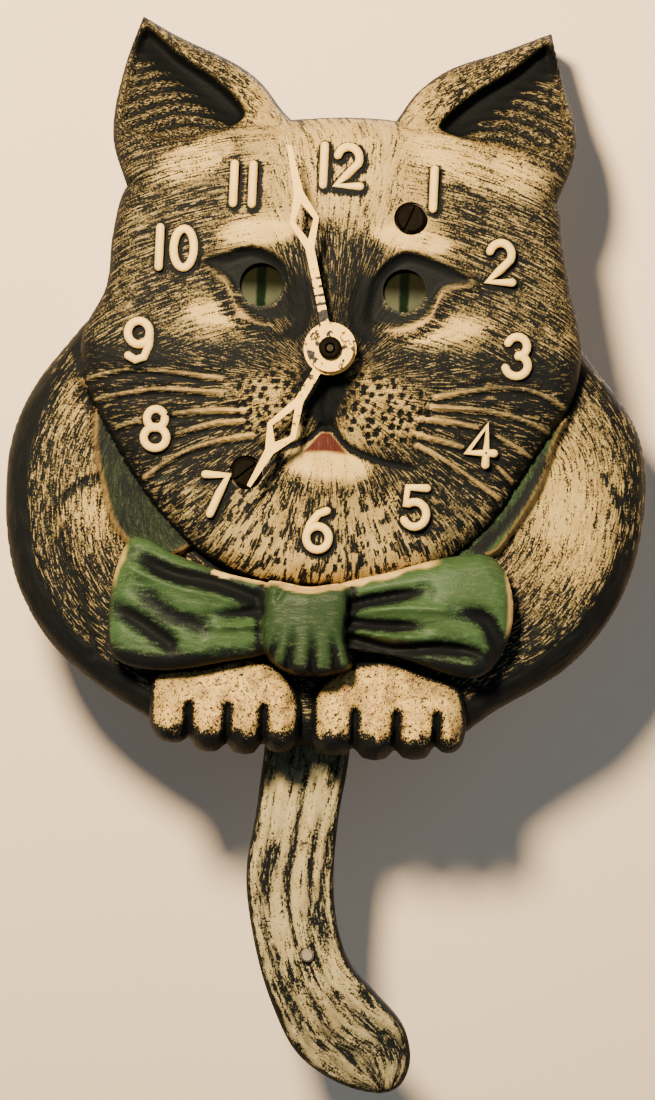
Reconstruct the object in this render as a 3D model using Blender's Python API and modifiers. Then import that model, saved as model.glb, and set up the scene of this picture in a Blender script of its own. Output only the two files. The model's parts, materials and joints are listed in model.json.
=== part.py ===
"""Cat tail clock: a hollow moulded cat with a spring movement in its back and a swinging tail.

Sizes are in millimetres and are turned into metres by MM. X is to the right, Z is up, and a
"depth" is the distance out from the wall towards the front, so depth 30 lies at y = -30 mm.
Every piece hangs on the empty clock_centre, which sits on the hand axis at the wall plane.
The origin is the centre of the nail, at the top of the hanger's keyhole.
"""
import math

import bmesh
import bpy

MM = 0.001
GAP = 0.3                       # clearance between neighbouring pieces
SHARP_OVER = 35.0               # edges over this many degrees stay sharp

# Reference heights and depths
NAIL_ABOVE_HANDS = 37.5
HANGER_SCREW_X = 11.5
HANGER_SCREW_Z = 37.8
BODY_DEPTH = 23.0
HEAD_DEPTH = 32.5
FACE_CROWN = 34.5               # the face at its middle
BOW_DEPTH = 34.0
KNOT_DEPTH = 37.0
PAW_DEPTH = 28.0
EAR_BASE_DEPTH = 27.0
EAR_TIP_DEPTH = 15.0
EAR_BASE_HEIGHT = 34.0
EAR_TIP_HEIGHT = 61.0
EAR_HOLLOW = 6.5

# Hollow back
HEAD_CAVITY_DEPTH = 24.7
FACE_CAVITY_DEPTH = 29.5
FACE_CAVITY_RADIUS = 27.0
BODY_CAVITY_DEPTH = 17.0
WALL = 5.0

# Layers of the movement, each from its back depth to its front depth
CLICK_LAYER = (10.2, 11.0)
CENTRE_PINION_LAYER = (10.6, 13.0)
GREAT_WHEEL_LAYER = (11.3, 12.3)
ESCAPE_PINION_LAYER = (13.0, 15.4)
MAINSPRING_LAYER = (13.5, 19.3)
THIRD_WHEEL_LAYER = (13.8, 14.6)
ANCHOR_LAYER = (17.5, 18.5)
ESCAPE_WHEEL_LAYER = (17.6, 18.4)
THIRD_PINION_LAYER = (19.8, 22.3)
CENTRE_WHEEL_LAYER = (20.7, 21.5)
MINUTE_WHEEL_LAYER = (24.5, 25.3)
MINUTE_PINION_LAYER = (24.9, 26.4)
HOUR_WHEEL_LAYER = (25.7, 26.4)
EYE_ARM_LAYER = (26.7, 27.4)
EYE_BAR_LAYER = (27.8, 28.5)
CRUTCH_DEPTH = 5.6
ROD_DEPTH = 1.9

# Radii that the turned parts share
PIVOT = 0.5
ARBOR = 0.65
WHEEL_BORE = 0.95
VERGE = 0.75
VERGE_BORE = 1.05
PILLAR = 1.9
PILLAR_END = 1.0

# Eyes
EYE_X = 12.65
EYE_Z = 11.3
EYE_HOLE_RADIUS = 3.8
EYE_WIDTH = 12.8
EYE_HEIGHT = 9.0

# Screws that hold the movement, seen on the face
UPPER_SCREW = (13.2, 24.0)
LOWER_SCREW = (-13.8, -22.0)
SCREW_SEAT = 31.0
SCREW_HEAD_RADIUS = 2.65

# Movement plates
PLATE_LEFT = -25.0
PLATE_RIGHT = 19.0
PLATE_BOTTOM = -29.0
PLATE_TOP = 33.0
PLATE_CORNER = 6.0
FRONT_PLATE = (23.0, 24.0)
BACK_PLATE = (8.0, 9.0)
PILLARS = {
    "pillar_upper_left": (-20.5, 28.5),
    "pillar_upper_right": (14.5, 29.0),
    "pillar_lower_left": (-20.5, -25.0),
    "pillar_lower_right": (14.5, -25.0),
}

# Gear teeth: heights above and below the pitch circle, in modules
ADDENDUM = 0.5
DEDENDUM = 0.75

# Gear train: tooth counts and modules set every centre distance
TRAIN_PINION = 6
CENTRE_PINION = 10
GREAT_TEETH, GREAT_MODULE = 60, 0.45
CENTRE_TEETH, CENTRE_MODULE = 72, 0.40
THIRD_TEETH, THIRD_MODULE = 60, 0.33
ESCAPE_TEETH, ESCAPE_RADIUS = 42, 8.0
CANNON_TEETH, MINUTE_TEETH, CANNON_MODULE = 12, 36, 1.0 / 3.0
MINUTE_PINION, HOUR_TEETH, HOUR_MODULE = 10, 40, 0.32

GREAT_ANGLE = math.radians(214.5)
THIRD_ANGLE = math.radians(54.76)
MINUTE_ANGLE = math.radians(-30.0)
CENTRE_AT = (0.0, 0.0)
VERGE_AT = (0.0, 29.2)
EYE_ARM_LENGTH = VERGE_AT[1] - EYE_Z

# Hands: the time shown at rest is two minutes to seven
MINUTE_HAND_LENGTH = 35.9
HOUR_HAND_LENGTH = 27.8
MINUTE_HAND_ANGLE = math.radians(90.0 + 14.0)
HOUR_HAND_ANGLE = math.radians(90.0 - 208.0)
HAND_THICKNESS = 0.6
HOUR_HAND_DEPTH = 39.8
MINUTE_HAND_DEPTH = 41.4

# Tail
TAIL_BACK = 3.3
TAIL_THICKNESS = 6.8
TAIL_RIVET = (0.8, -109.2)
ROD_RADIUS = 0.5


# ---------------------------------------------------------------- scene, materials, placing

def clear_scene():
    for item in list(bpy.data.objects):
        bpy.data.objects.remove(item, do_unlink=True)


def new_collection(name):
    collection = bpy.data.collections.new(name)
    bpy.context.scene.collection.children.link(collection)
    return collection


clear_scene()
PARTS = new_collection("cat_tail_clock")
CUTTERS = new_collection("cutters")

CENTRE = bpy.data.objects.new("clock_centre", None)
CENTRE.location = (0.0, 0.0, -NAIL_ABOVE_HANDS * MM)
PARTS.objects.link(CENTRE)

LOOKS = {
    "painted": ((0.55, 0.46, 0.32), 0.6, 0.0),
    "brass": ((0.72, 0.53, 0.22), 0.35, 1.0),
    "steel": ((0.45, 0.45, 0.46), 0.35, 1.0),
    "dark": ((0.05, 0.045, 0.04), 0.5, 0.6),
    "cream": ((0.80, 0.70, 0.48), 0.5, 0.0),
    "eye": ((0.33, 0.38, 0.16), 0.25, 0.0),
}


def paint(piece, look):
    colour, roughness, metallic = LOOKS[look]
    material = bpy.data.materials.new(piece.name)
    material.use_nodes = True
    shader = material.node_tree.nodes["Principled BSDF"]
    shader.inputs["Base Color"].default_value = (*colour, 1.0)
    shader.inputs["Roughness"].default_value = roughness
    shader.inputs["Metallic"].default_value = metallic
    piece.data.materials.clear()
    piece.data.materials.append(material)


def place(name, mesh, at, depth=0.0):
    """Stand a mesh up on the wall plane: its local Z becomes depth, its local Y becomes up."""
    piece = bpy.data.objects.new(name, mesh)
    piece.parent = CENTRE
    piece.location = (at[0] * MM, -depth * MM, at[1] * MM)
    piece.rotation_euler = (math.radians(90.0), 0.0, 0.0)
    PARTS.objects.link(piece)
    return piece


def make_tool(piece):
    """Turn a piece into a hidden operand for a Boolean."""
    PARTS.objects.unlink(piece)
    CUTTERS.objects.link(piece)
    piece.hide_render = True
    piece.display_type = "WIRE"


def combine(piece, operation, tools, solver="EXACT"):
    for tool in tools:
        boolean = piece.modifiers.new(tool.name, "BOOLEAN")
        boolean.operation = operation
        boolean.solver = solver
        boolean.object = tool
        make_tool(tool)


def cut(piece, *tools):
    combine(piece, "DIFFERENCE", tools)


def fuse(piece, *tools):
    combine(piece, "UNION", tools)


def smooth(piece):
    piece.data.shade_smooth()
    piece.data.set_sharp_from_angle(angle=math.radians(SHARP_OVER))


# ---------------------------------------------------------------- outlines

def circle(x, z, radius, sides=16):
    turn = 2.0 * math.pi / sides
    return [(x + radius * math.cos(turn * i), z + radius * math.sin(turn * i))
            for i in range(sides)]


def arc(x, z, radius, start, end, steps):
    """Points from the angle start to the angle end, in degrees."""
    angles = [math.radians(start + (end - start) * i / steps) for i in range(steps + 1)]
    return [(x + radius * math.cos(a), z + radius * math.sin(a)) for a in angles]


def rounded_box(left, right, bottom, top, radius, steps=4):
    return (arc(right - radius, top - radius, radius, 0, 90, steps)
            + arc(left + radius, top - radius, radius, 90, 180, steps)
            + arc(left + radius, bottom + radius, radius, 180, 270, steps)
            + arc(right - radius, bottom + radius, radius, 270, 360, steps))


def turned_about(points, angle):
    cosine, sine = math.cos(angle), math.sin(angle)
    return [(x * cosine - z * sine, x * sine + z * cosine) for x, z in points]


def gear(teeth, module, phase):
    """Pointed straight-sided teeth; phase is the direction of the tip of one tooth."""
    pitch_radius = teeth * module / 2.0
    tip = pitch_radius + ADDENDUM * module
    root = pitch_radius - DEDENDUM * module
    half_step = math.pi / teeth
    points = []
    for i in range(2 * teeth):
        angle = phase + i * half_step
        radius = root if i % 2 else tip
        points.append((radius * math.cos(angle), radius * math.sin(angle)))
    return points


def saw_wheel(teeth, tip, root, phase=0.0):
    """Pointed teeth that lean one way, for the escape wheel and the ratchet."""
    step = 2.0 * math.pi / teeth
    points = []
    for i in range(teeth):
        start = phase + i * step
        for radius, share in ((root, 0.0), (tip, 0.72), (tip, 0.86)):
            angle = start + share * step
            points.append((radius * math.cos(angle), radius * math.sin(angle)))
    return points


# ---------------------------------------------------------------- modelling helpers

def plate(name, loops, back, front, at=CENTRE_AT, curved=False, corners=(), resolution=4):
    """A flat piece between two depths; the first loop is its edge and the others are holes."""
    curve = bpy.data.curves.new(name, "CURVE")
    curve.dimensions = "2D"
    curve.fill_mode = "BOTH"
    curve.resolution_u = resolution
    curve.extrude = (front - back) / 2.0 * MM
    for loop in loops:
        spline = curve.splines.new("BEZIER" if curved else "POLY")
        points = spline.bezier_points if curved else spline.points
        points.add(len(loop) - 1)
        for i, (x, z) in enumerate(loop):
            if curved:
                points[i].co = (x * MM, z * MM, 0.0)
                kind = "VECTOR" if i in corners else "AUTO"
                points[i].handle_left_type = kind
                points[i].handle_right_type = kind
            else:
                points[i].co = (x * MM, z * MM, 0.0, 1.0)
        spline.use_cyclic_u = True
    middle = (front + back) / 2.0
    return place(name, solid_mesh(curve, name), at, middle)


def solid_mesh(curve, name):
    """The curve's own solid as a welded mesh."""
    holder = bpy.data.objects.new(name + "_curve", curve)
    bpy.context.scene.collection.objects.link(holder)
    graph = bpy.context.evaluated_depsgraph_get()
    mesh = bpy.data.meshes.new_from_object(holder.evaluated_get(graph))
    mesh.name = name
    bpy.data.objects.remove(holder, do_unlink=True)
    bpy.data.curves.remove(curve)
    work = bmesh.new()
    work.from_mesh(mesh)
    bmesh.ops.remove_doubles(work, verts=work.verts, dist=1e-6)
    bmesh.ops.recalc_face_normals(work, faces=work.faces)
    work.to_mesh(mesh)
    work.free()
    return mesh


def round_front(piece, width, segments=3):
    """Make each cap one face, then bevel the edge of the front cap only."""
    work = bmesh.new()
    work.from_mesh(piece.data)
    flat = [edge for edge in work.edges if edge.calc_face_angle(0.0) < 0.001]
    bmesh.ops.dissolve_edges(work, edges=flat, use_verts=False)
    weight = work.edges.layers.float.new("bevel_weight_edge")
    front = max(vertex.co.z for vertex in work.verts)
    for edge in work.edges:
        on_front = all(front - vertex.co.z < 1e-6 for vertex in edge.verts)
        if on_front and edge.calc_face_angle(0.0) > 1.0:
            edge[weight] = 1.0
    work.to_mesh(piece.data)
    work.free()
    bevel = piece.modifiers.new("front_edge", "BEVEL")
    bevel.limit_method = "WEIGHT"
    bevel.width = width * MM
    bevel.segments = segments


def turned(name, profile, at=CENTRE_AT, steps=16):
    """A turned piece; profile holds (radius, depth) pairs from its front end to its back end."""
    front, back = profile[0][1], profile[-1][1]
    points = [(0.0, front), *profile, (0.0, back)]
    work = bmesh.new()
    corners = [work.verts.new((radius * MM, 0.0, depth * MM)) for radius, depth in points]
    for first, second in zip(corners, corners[1:]):
        work.edges.new((first, second))
    return screwed(name, work, at, steps)


def tube(name, profile, at=CENTRE_AT, steps=16):
    """A turned piece with a bore; profile is a closed loop of (radius, depth) pairs."""
    work = bmesh.new()
    corners = [work.verts.new((radius * MM, 0.0, depth * MM)) for radius, depth in profile]
    for first, second in zip(corners, corners[1:] + corners[:1]):
        work.edges.new((first, second))
    return screwed(name, work, at, steps)


def screwed(name, work, at, steps):
    mesh = bpy.data.meshes.new(name)
    work.to_mesh(mesh)
    work.free()
    piece = place(name, mesh, at)
    screw = piece.modifiers.new("turn", "SCREW")
    screw.steps = steps
    screw.render_steps = steps
    screw.use_merge_vertices = True
    screw.merge_threshold = 1e-6
    screw.use_smooth_shade = True
    return piece


def stack(*sections):
    """Radius and depth pairs for a stepped arbor, from (radius, front, back) sections."""
    profile = []
    for radius, front, back in sections:
        profile += [(radius, front), (radius, back)]
    return profile


def blob(name, centre, radii, segments=16, rings=8):
    """An ellipsoid; centre and radii are (x, depth, z)."""
    work = bmesh.new()
    bmesh.ops.create_uvsphere(work, u_segments=segments, v_segments=rings, radius=MM)
    bmesh.ops.scale(work, verts=work.verts, vec=(radii[0], radii[2], radii[1]))
    mesh = bpy.data.meshes.new(name)
    work.to_mesh(mesh)
    work.free()
    return place(name, mesh, (centre[0], centre[2]), centre[1])


def post(name, at, radius, back, front, sides=16):
    """A plain cylinder along the depth."""
    work = bmesh.new()
    bmesh.ops.create_cone(work, cap_ends=True, segments=sides, radius1=radius * MM,
                          radius2=radius * MM, depth=(front - back) * MM)
    mesh = bpy.data.meshes.new(name)
    work.to_mesh(mesh)
    work.free()
    return place(name, mesh, at, (front + back) / 2.0)


def block(name, left, right, bottom, top, back, front):
    """A plain box."""
    work = bmesh.new()
    bmesh.ops.create_cube(work, size=MM)
    bmesh.ops.scale(work, verts=work.verts, vec=(right - left, top - bottom, front - back))
    mesh = bpy.data.meshes.new(name)
    work.to_mesh(mesh)
    work.free()
    middle = ((left + right) / 2.0, (bottom + top) / 2.0)
    return place(name, mesh, middle, (front + back) / 2.0)


def wire(name, route, radius, at=CENTRE_AT):
    """A bent round wire; route holds (x, depth, z) points."""
    curve = bpy.data.curves.new(name, "CURVE")
    curve.dimensions = "3D"
    curve.bevel_depth = radius * MM
    curve.bevel_resolution = 1
    curve.use_fill_caps = True
    spline = curve.splines.new("POLY")
    spline.points.add(len(route) - 1)
    for point, (x, depth, z) in zip(spline.points, route):
        point.co = (x * MM, z * MM, depth * MM, 1.0)
    piece = place(name, solid_mesh(curve, name), at)
    smooth(piece)
    return piece


# ---------------------------------------------------------------- case

def body_outline(inset=0.0):
    points = [(-36, 10), (-49.5, -2.4), (-56.2, -15), (-57.4, -29), (-54.6, -43.5), (-46.5, -55.7),
              (-31, -66.2), (-22, -70), (22, -69.5), (33, -62.6), (46, -53.8), (54.5, -41.8),
              (58, -27), (56.8, -12.8), (49.5, -1.8), (36, 10)]
    middle_x, middle_z = 0.0, -26.0
    across, up = 1.0 - inset / 57.5, 1.0 - inset / 40.0
    return [((x - middle_x) * across + middle_x, (z - middle_z) * up + middle_z) for x, z in points]


def head_outline():
    left = [(-37.6, 28.2), (-40.2, 20), (-41.9, 10), (-44.6, 1.5), (-43.6, -6), (-38.6, -16),
            (-30.7, -27.6), (-21.4, -36.4), (-10.5, -41)]
    right = [(2, -41.5), (13, -39.6), (22, -36.4), (30, -29), (38.5, -15), (43.6, -6),
             (44.7, 3), (42.3, 13), (40.4, 22), (39.2, 28.6)]
    top = [(31, 37), (20, 41.4), (9.9, 42.6), (0, 42.7), (-8.6, 41.9), (-20, 41), (-30, 36.5)]
    return left + right + top


LEFT_EAR = [(-37.6, 28.4), (-40.3, 35.8), (-40.7, 42), (-39.2, 52), (-36.8, 60.8), (-30.3, 57.2),
            (-20, 52.6), (-14.9, 49.1), (-10.3, 43.4), (-8.6, 41.6), (-12, 34), (-24, 27)]
LEFT_EAR_CORNERS = (0, 4, 9, 10, 11)
RIGHT_EAR = [(39.2, 28.6), (42.2, 37.2), (42.2, 43.8), (40.1, 50.8), (37.7, 61), (28.2, 56.7),
             (19.6, 53.2), (13.7, 48.4), (9.9, 42.4), (14, 34), (26, 27)]
RIGHT_EAR_CORNERS = (0, 4, 8, 9, 10)
LEFT_HOLLOW = [(-38.6, 38), (-38.8, 46), (-36.2, 58.4), (-29, 54.4), (-20.4, 49.4), (-16, 42.4),
               (-20, 38.6), (-30, 36)]
LEFT_HOLLOW_CORNERS = (2, 5, 6)
RIGHT_HOLLOW = [(40.2, 38), (39.6, 46), (37.2, 58.6), (30, 54), (21.6, 48.6), (16.4, 41.6),
                (21, 39), (31, 37)]
RIGHT_HOLLOW_CORNERS = (2, 5, 6)


def ear_front(height):
    share = (height - EAR_BASE_HEIGHT) / (EAR_TIP_HEIGHT - EAR_BASE_HEIGHT)
    share = min(1.0, max(0.0, share))
    return EAR_BASE_DEPTH + (EAR_TIP_DEPTH - EAR_BASE_DEPTH) * share


def slope(piece, front_end, drop):
    """Move one end of an ear-shaped slab onto the sloping ear surface, drop below it."""
    for vertex in piece.data.vertices:
        if (vertex.co.z > 0.0) == front_end:
            height = vertex.co.y / MM
            world_depth = ear_front(height) - drop
            vertex.co.z = world_depth * MM + piece.location.y


def ears():
    pieces = []
    for side, outline, corners in (("left", LEFT_EAR, LEFT_EAR_CORNERS),
                                   ("right", RIGHT_EAR, RIGHT_EAR_CORNERS)):
        ear = plate("ear_" + side, [outline], 0.0, EAR_BASE_DEPTH, curved=True, corners=corners,
                    resolution=2)
        slope(ear, True, 0.0)
        pieces.append(ear)
    return pieces


def ear_hollows():
    pieces = []
    for side, outline, corners in (("left", LEFT_HOLLOW, LEFT_HOLLOW_CORNERS),
                                   ("right", RIGHT_HOLLOW, RIGHT_HOLLOW_CORNERS)):
        hollow = plate("ear_hollow_" + side, [outline], 10.0, 50.0, curved=True,
                       corners=corners, resolution=2)
        slope(hollow, False, EAR_HOLLOW)
        pieces.append(hollow)
    return pieces


def face_forms():
    """The raised forms of the face: crown, brow, cheeks, whisker pads and chin."""
    forms = [
        blob("face_crown", (0, 0, 0), (46, FACE_CROWN, 44), 24, 14),
        blob("brow", (0, 19, 25), (30, 15.5, 12)),
        blob("chin", (0, 20, -27), (21, 14, 11)),
    ]
    for side, sign in (("left", -1), ("right", 1)):
        forms.append(blob("cheek_" + side, (sign * 25, 20, -4), (13, 13.5, 14)))
        forms.append(blob("whisker_pad_" + side, (sign * 7.5, 25, -9), (9.5, 12.8, 7.5)))
    return forms


LEFT_BOW = [(-8, -44.5), (-17.5, -40.3), (-25, -37.8), (-33, -34.2), (-35.8, -39), (-37, -47.5),
            (-36, -55.4), (-29, -57.6), (-18, -56), (-8, -51.5)]
RIGHT_BOW = [(4, -44), (14.1, -38.8), (22.8, -36.1), (29.8, -35.4), (33.4, -38.8), (34.4, -46.5),
             (31.8, -54), (27.2, -56.6), (14.7, -53.4), (4, -50.8)]


def bow():
    lobes = []
    for side, outline in (("left", LEFT_BOW), ("right", RIGHT_BOW)):
        lobe = plate("bow_" + side, [outline], 15.0, BOW_DEPTH, curved=True, resolution=2)
        round_front(lobe, 3.0, 2)
        lobes.append(lobe)
    knot = plate("bow_knot", [rounded_box(-9.6, 5.4, -56.6, -41.8, 3.0)], 15.0, KNOT_DEPTH)
    round_front(knot, 2.5, 2)
    return [*lobes, knot]


def paws():
    """Two paws with four toes each, standing out from the bottom of the body."""
    forms = []
    for side, left, toes in (("left", -29.4, (-25.9, -18.7, -12.1, -6.0)),
                             ("right", -0.6, (3.4, 11.1, 18.4, 24.4))):
        right = left + 27.4
        outline = rounded_box(left, right, -69.0, -54.4, 5.5, 3)
        upper = plate("paw_" + side, [outline], 13.0, PAW_DEPTH)
        round_front(upper, 4.0, 2)
        forms.append(upper)
        for i, x in enumerate(toes):
            forms.append(blob("toe_%s_%d" % (side, i), (x, 20.0, -65.0), (4.2, 9.6, 7.2), 10, 6))
    return forms


def bosses():
    """Stands inside the face for the two movement screws."""
    return [post("boss_upper", UPPER_SCREW, 4.0, FRONT_PLATE[1] + GAP, SCREW_SEAT, 20),
            post("boss_lower", LOWER_SCREW, 4.0, FRONT_PLATE[1] + GAP, SCREW_SEAT, 20)]


def cavities():
    """The hollow back: head, face, the channel of the eye drive, body and the tail's notch."""
    return [
        block("behind_the_wall", -80.0, 80.0, -90.0, 80.0, -60.0, 0.0),
        plate("head_cavity", [rounded_box(-29, 29, -31.5, 34.5, 12, 3)], -2.0, HEAD_CAVITY_DEPTH),
        post("face_cavity", CENTRE_AT, FACE_CAVITY_RADIUS, 20.0, FACE_CAVITY_DEPTH, 36),
        block("eye_drive_channel", -5.5, 5.5, 20.0, 32.2, 20.0, 28.4),
        plate("body_cavity", [body_outline(WALL)], -2.0, BODY_CAVITY_DEPTH, curved=True,
              resolution=2),
        block("tail_notch", -21.5, 19.5, -80.0, -60.0, -2.0, 12.0),
        block("nail_pocket", -6.0, 6.0, 25.0, 40.4, -2.0, 8.0),
        block("strap_pocket", -15.4, 15.4, 25.0, 41.2, -2.0, 1.8),
    ]


def openings():
    """Everything that goes through the face, with sockets and counterbores."""
    tools = [post("centre_hole", CENTRE_AT, 3.4, 20.0, 50.0, 16)]
    for side, sign in (("left", -1), ("right", 1)):
        at = (sign * EYE_X, EYE_Z)
        tools.append(post("eye_hole_" + side, at, EYE_HOLE_RADIUS, 20.0, 50.0, 20))
        tools.append(blob("eye_socket_" + side, (at[0], 37.5, at[1]), (9.0, 5.8, 5.6)))
        tools.append(plate("eye_pocket_" + side,
                           [rounded_box(at[0] - 8.8, at[0] + 8.8, at[1] - 5.0, at[1] + 5.0, 4.0, 3)],
                           25.0, 30.9))
    for side, at in (("upper", UPPER_SCREW), ("lower", LOWER_SCREW)):
        tools.append(post("screw_hole_" + side, at, 1.6, 20.0, 50.0))
        tools.append(post("counterbore_" + side, at, SCREW_HEAD_RADIUS + 0.35, SCREW_SEAT, 50.0))
    for side, x in (("left", -HANGER_SCREW_X), ("right", HANGER_SCREW_X)):
        tools.append(post("hanger_hole_" + side, (x, HANGER_SCREW_Z), 1.1, -2.0, 7.5, 12))
    return tools


def case_shell():
    case = plate("case_shell", [body_outline()], 0.0, BODY_DEPTH, curved=True, resolution=3)
    round_front(case, 7.0)
    head = plate("head", [head_outline()], 0.0, HEAD_DEPTH, curved=True, resolution=2)
    round_front(head, 4.5)
    fuse(case, head, *ears(), *face_forms(), *bow(), *paws())
    cut(case, *ear_hollows(), *cavities())
    fuse(case, *bosses())
    cut(case, *openings())
    paint(case, "painted")


# ---------------------------------------------------------------- hanger

def keyhole(steps=10):
    """A round hole for the nail's head with a narrower slot above it for its shank."""
    hole_radius, hole_z, slot_radius = 3.3, 33.0, 1.6
    half_angle = math.degrees(math.asin(slot_radius / hole_radius))
    lower = arc(0.0, hole_z, hole_radius, 90.0 + half_angle, 450.0 - half_angle, steps)
    upper = arc(0.0, NAIL_ABOVE_HANDS, slot_radius, 0.0, 180.0, 6)
    return lower + upper


def hanger():
    holes = [circle(x, HANGER_SCREW_Z, 1.1, 12) for x in (-HANGER_SCREW_X, HANGER_SCREW_X)]
    strap = plate("hanger_strap", [rounded_box(-15.0, 15.0, 28.6, 40.9, 2.5), keyhole(), *holes],
                  0.8, 1.5)
    paint(strap, "steel")
    for side, x in (("left", -HANGER_SCREW_X), ("right", HANGER_SCREW_X)):
        screw = turned("hanger_screw_" + side, stack((0.8, 7.0, 0.5), (1.9, 0.5, 0.1)),
                       (x, HANGER_SCREW_Z), 12)
        paint(screw, "steel")


# ---------------------------------------------------------------- plates and pillars

def polar(origin, distance, angle):
    return (origin[0] + distance * math.cos(angle), origin[1] + distance * math.sin(angle))


GREAT_AT = polar(CENTRE_AT, GREAT_MODULE * (GREAT_TEETH + CENTRE_PINION) / 2.0, GREAT_ANGLE)
THIRD_AT = polar(CENTRE_AT, CENTRE_MODULE * (CENTRE_TEETH + TRAIN_PINION) / 2.0, THIRD_ANGLE)
ESCAPE_DISTANCE = THIRD_MODULE * (THIRD_TEETH + TRAIN_PINION) / 2.0
ESCAPE_ANGLE = math.pi - math.acos(THIRD_AT[0] / ESCAPE_DISTANCE)
ESCAPE_AT = polar(THIRD_AT, ESCAPE_DISTANCE, ESCAPE_ANGLE)
MINUTE_AT = polar(CENTRE_AT, CANNON_MODULE * (CANNON_TEETH + MINUTE_TEETH) / 2.0, MINUTE_ANGLE)
GUIDE_POSTS = {"eye_guide_left": (-4.3, 17.6), "eye_guide_right": (4.3, 17.6)}


def movement_plate(name, span, bores):
    holes = [circle(*at, radius, 12) for at, radius in bores]
    edge = rounded_box(PLATE_LEFT, PLATE_RIGHT, PLATE_BOTTOM, PLATE_TOP, PLATE_CORNER)
    piece = plate(name, [edge, *holes], *span)
    paint(piece, "brass")


def plates():
    shared = [(CENTRE_AT, 0.95), (THIRD_AT, 0.8), (ESCAPE_AT, 0.8), (VERGE_AT, VERGE_BORE)]
    shared += [(at, 1.3) for at in PILLARS.values()]
    front = [(GREAT_AT, 1.0), (MINUTE_AT, 1.0), (UPPER_SCREW, 1.6), (LOWER_SCREW, 1.6)]
    front += [(at, 1.0) for at in GUIDE_POSTS.values()]
    movement_plate("front_plate", FRONT_PLATE, shared + front)
    movement_plate("back_plate", BACK_PLATE, shared + [(GREAT_AT, 1.8)])


def pillars():
    """Shouldered posts between the plates; a nut on the thread behind the back plate."""
    for name, at in PILLARS.items():
        front_shoulder, back_shoulder = FRONT_PLATE[0] - GAP, BACK_PLATE[1] + GAP
        piece = turned(name, stack((PILLAR_END, FRONT_PLATE[1] + 0.2, front_shoulder),
                                   (PILLAR, front_shoulder, back_shoulder),
                                   (PILLAR_END, back_shoulder, 5.9)), at, 12)
        paint(piece, "brass")
        nut = plate(name.replace("pillar", "pillar_nut"),
                    [circle(0, 0, 2.6, 6), circle(0, 0, 1.3, 12)], 6.1, BACK_PLATE[0] - GAP, at)
        paint(nut, "steel")


def slotted_screw(name, at, seat, shank_end, head_radius, shank_radius, head_height, slot_angle):
    """Head in front of its seat, shank running back into the movement."""
    head_back = seat + GAP
    head_front = head_back + head_height
    piece = turned(name, [(head_radius * 0.8, head_front), (head_radius, head_front - 0.5),
                          (head_radius, head_back), (shank_radius, head_back),
                          (shank_radius, shank_end)], at, 16)
    slot = plate(name + "_slot", [turned_about([(-4, -0.4), (4, -0.4), (4, 0.4), (-4, 0.4)],
                                               slot_angle)],
                 head_front - 0.8, head_front + 1.0, at)
    cut(piece, slot)
    paint(piece, "dark")


def movement_screws():
    slotted_screw("movement_screw_upper", UPPER_SCREW, SCREW_SEAT, 21.6, SCREW_HEAD_RADIUS, 1.3,
                  2.0, math.radians(68.0))
    slotted_screw("movement_screw_lower", LOWER_SCREW, SCREW_SEAT, 21.6, SCREW_HEAD_RADIUS, 1.3,
                  2.0, math.radians(40.0))


# ---------------------------------------------------------------- going train

def great_group():
    """Great wheel with its click work, the winding arbor through it, and the mainspring."""
    mesh_angle = GREAT_ANGLE + math.pi
    wheel = plate("great_wheel",
                  [gear(GREAT_TEETH, GREAT_MODULE, mesh_angle + math.pi / GREAT_TEETH),
                   circle(0, 0, 1.8), circle(*CLICK_OFFSET, 0.9, 12)], *GREAT_WHEEL_LAYER, GREAT_AT)
    paint(wheel, "brass")
    arbor = turned("winding_arbor", stack((0.7, 24.2, 19.9), (1.5, 19.9, 7.9), (1.1, 7.9, 3.2)),
                   GREAT_AT, 12)
    paint(arbor, "steel")
    ratchet = plate("ratchet_wheel", [saw_wheel(16, 5.0, 4.1), circle(0, 0, 1.8)],
                    *CLICK_LAYER, GREAT_AT)
    paint(ratchet, "steel")
    mainspring()
    click_work()


def mainspring():
    """A flat strip coiled round the arbor in a rising spiral."""
    inner, outer, turns, steps = 3.0, 12.3, 5, 14
    back, front = MAINSPRING_LAYER
    work = bmesh.new()
    previous = None
    for i in range(turns * steps + 1):
        angle = 2.0 * math.pi * i / steps
        radius = (inner + (outer - inner) * i / (turns * steps)) * MM
        foot = work.verts.new((radius * math.cos(angle), radius * math.sin(angle), back * MM))
        head = work.verts.new((foot.co.x, foot.co.y, front * MM))
        if previous:
            work.faces.new((previous[0], foot, head, previous[1]))
        previous = (foot, head)
    mesh = bpy.data.meshes.new("mainspring")
    work.to_mesh(mesh)
    work.free()
    spring = place("mainspring", mesh, GREAT_AT)
    strip = spring.modifiers.new("strip", "SOLIDIFY")
    strip.thickness = 0.4 * MM
    strip.offset = 0.0
    paint(spring, "steel")


CLICK_OFFSET = (8.6, 4.2)


def click_work():
    """The click turns on a stud in the great wheel, and a bent wire presses it inwards."""
    stud_at = (GREAT_AT[0] + CLICK_OFFSET[0], GREAT_AT[1] + CLICK_OFFSET[1])
    outline = arc(0, 0, 1.7, -30, 150, 8) + [(-2.4, -0.1), (-3.6, -1.6), (-1.2, -1.9)]
    click = plate("click", [outline, circle(0, 0, 0.9, 12)], *CLICK_LAYER, stud_at)
    paint(click, "steel")
    stud = turned("click_stud", stack((0.6, 12.5, 10.0), (1.2, 10.0, 9.5)), stud_at, 12)
    paint(stud, "brass")
    depth = sum(CLICK_LAYER) / 2.0
    route = [(-0.6, depth, 4.6), (-2.6, depth, 3.6), (-4.6, depth, 2.2), (-6.2, depth, 0.6)]
    spring = wire("click_spring", route, 0.3, stud_at)
    paint(spring, "steel")


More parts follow.
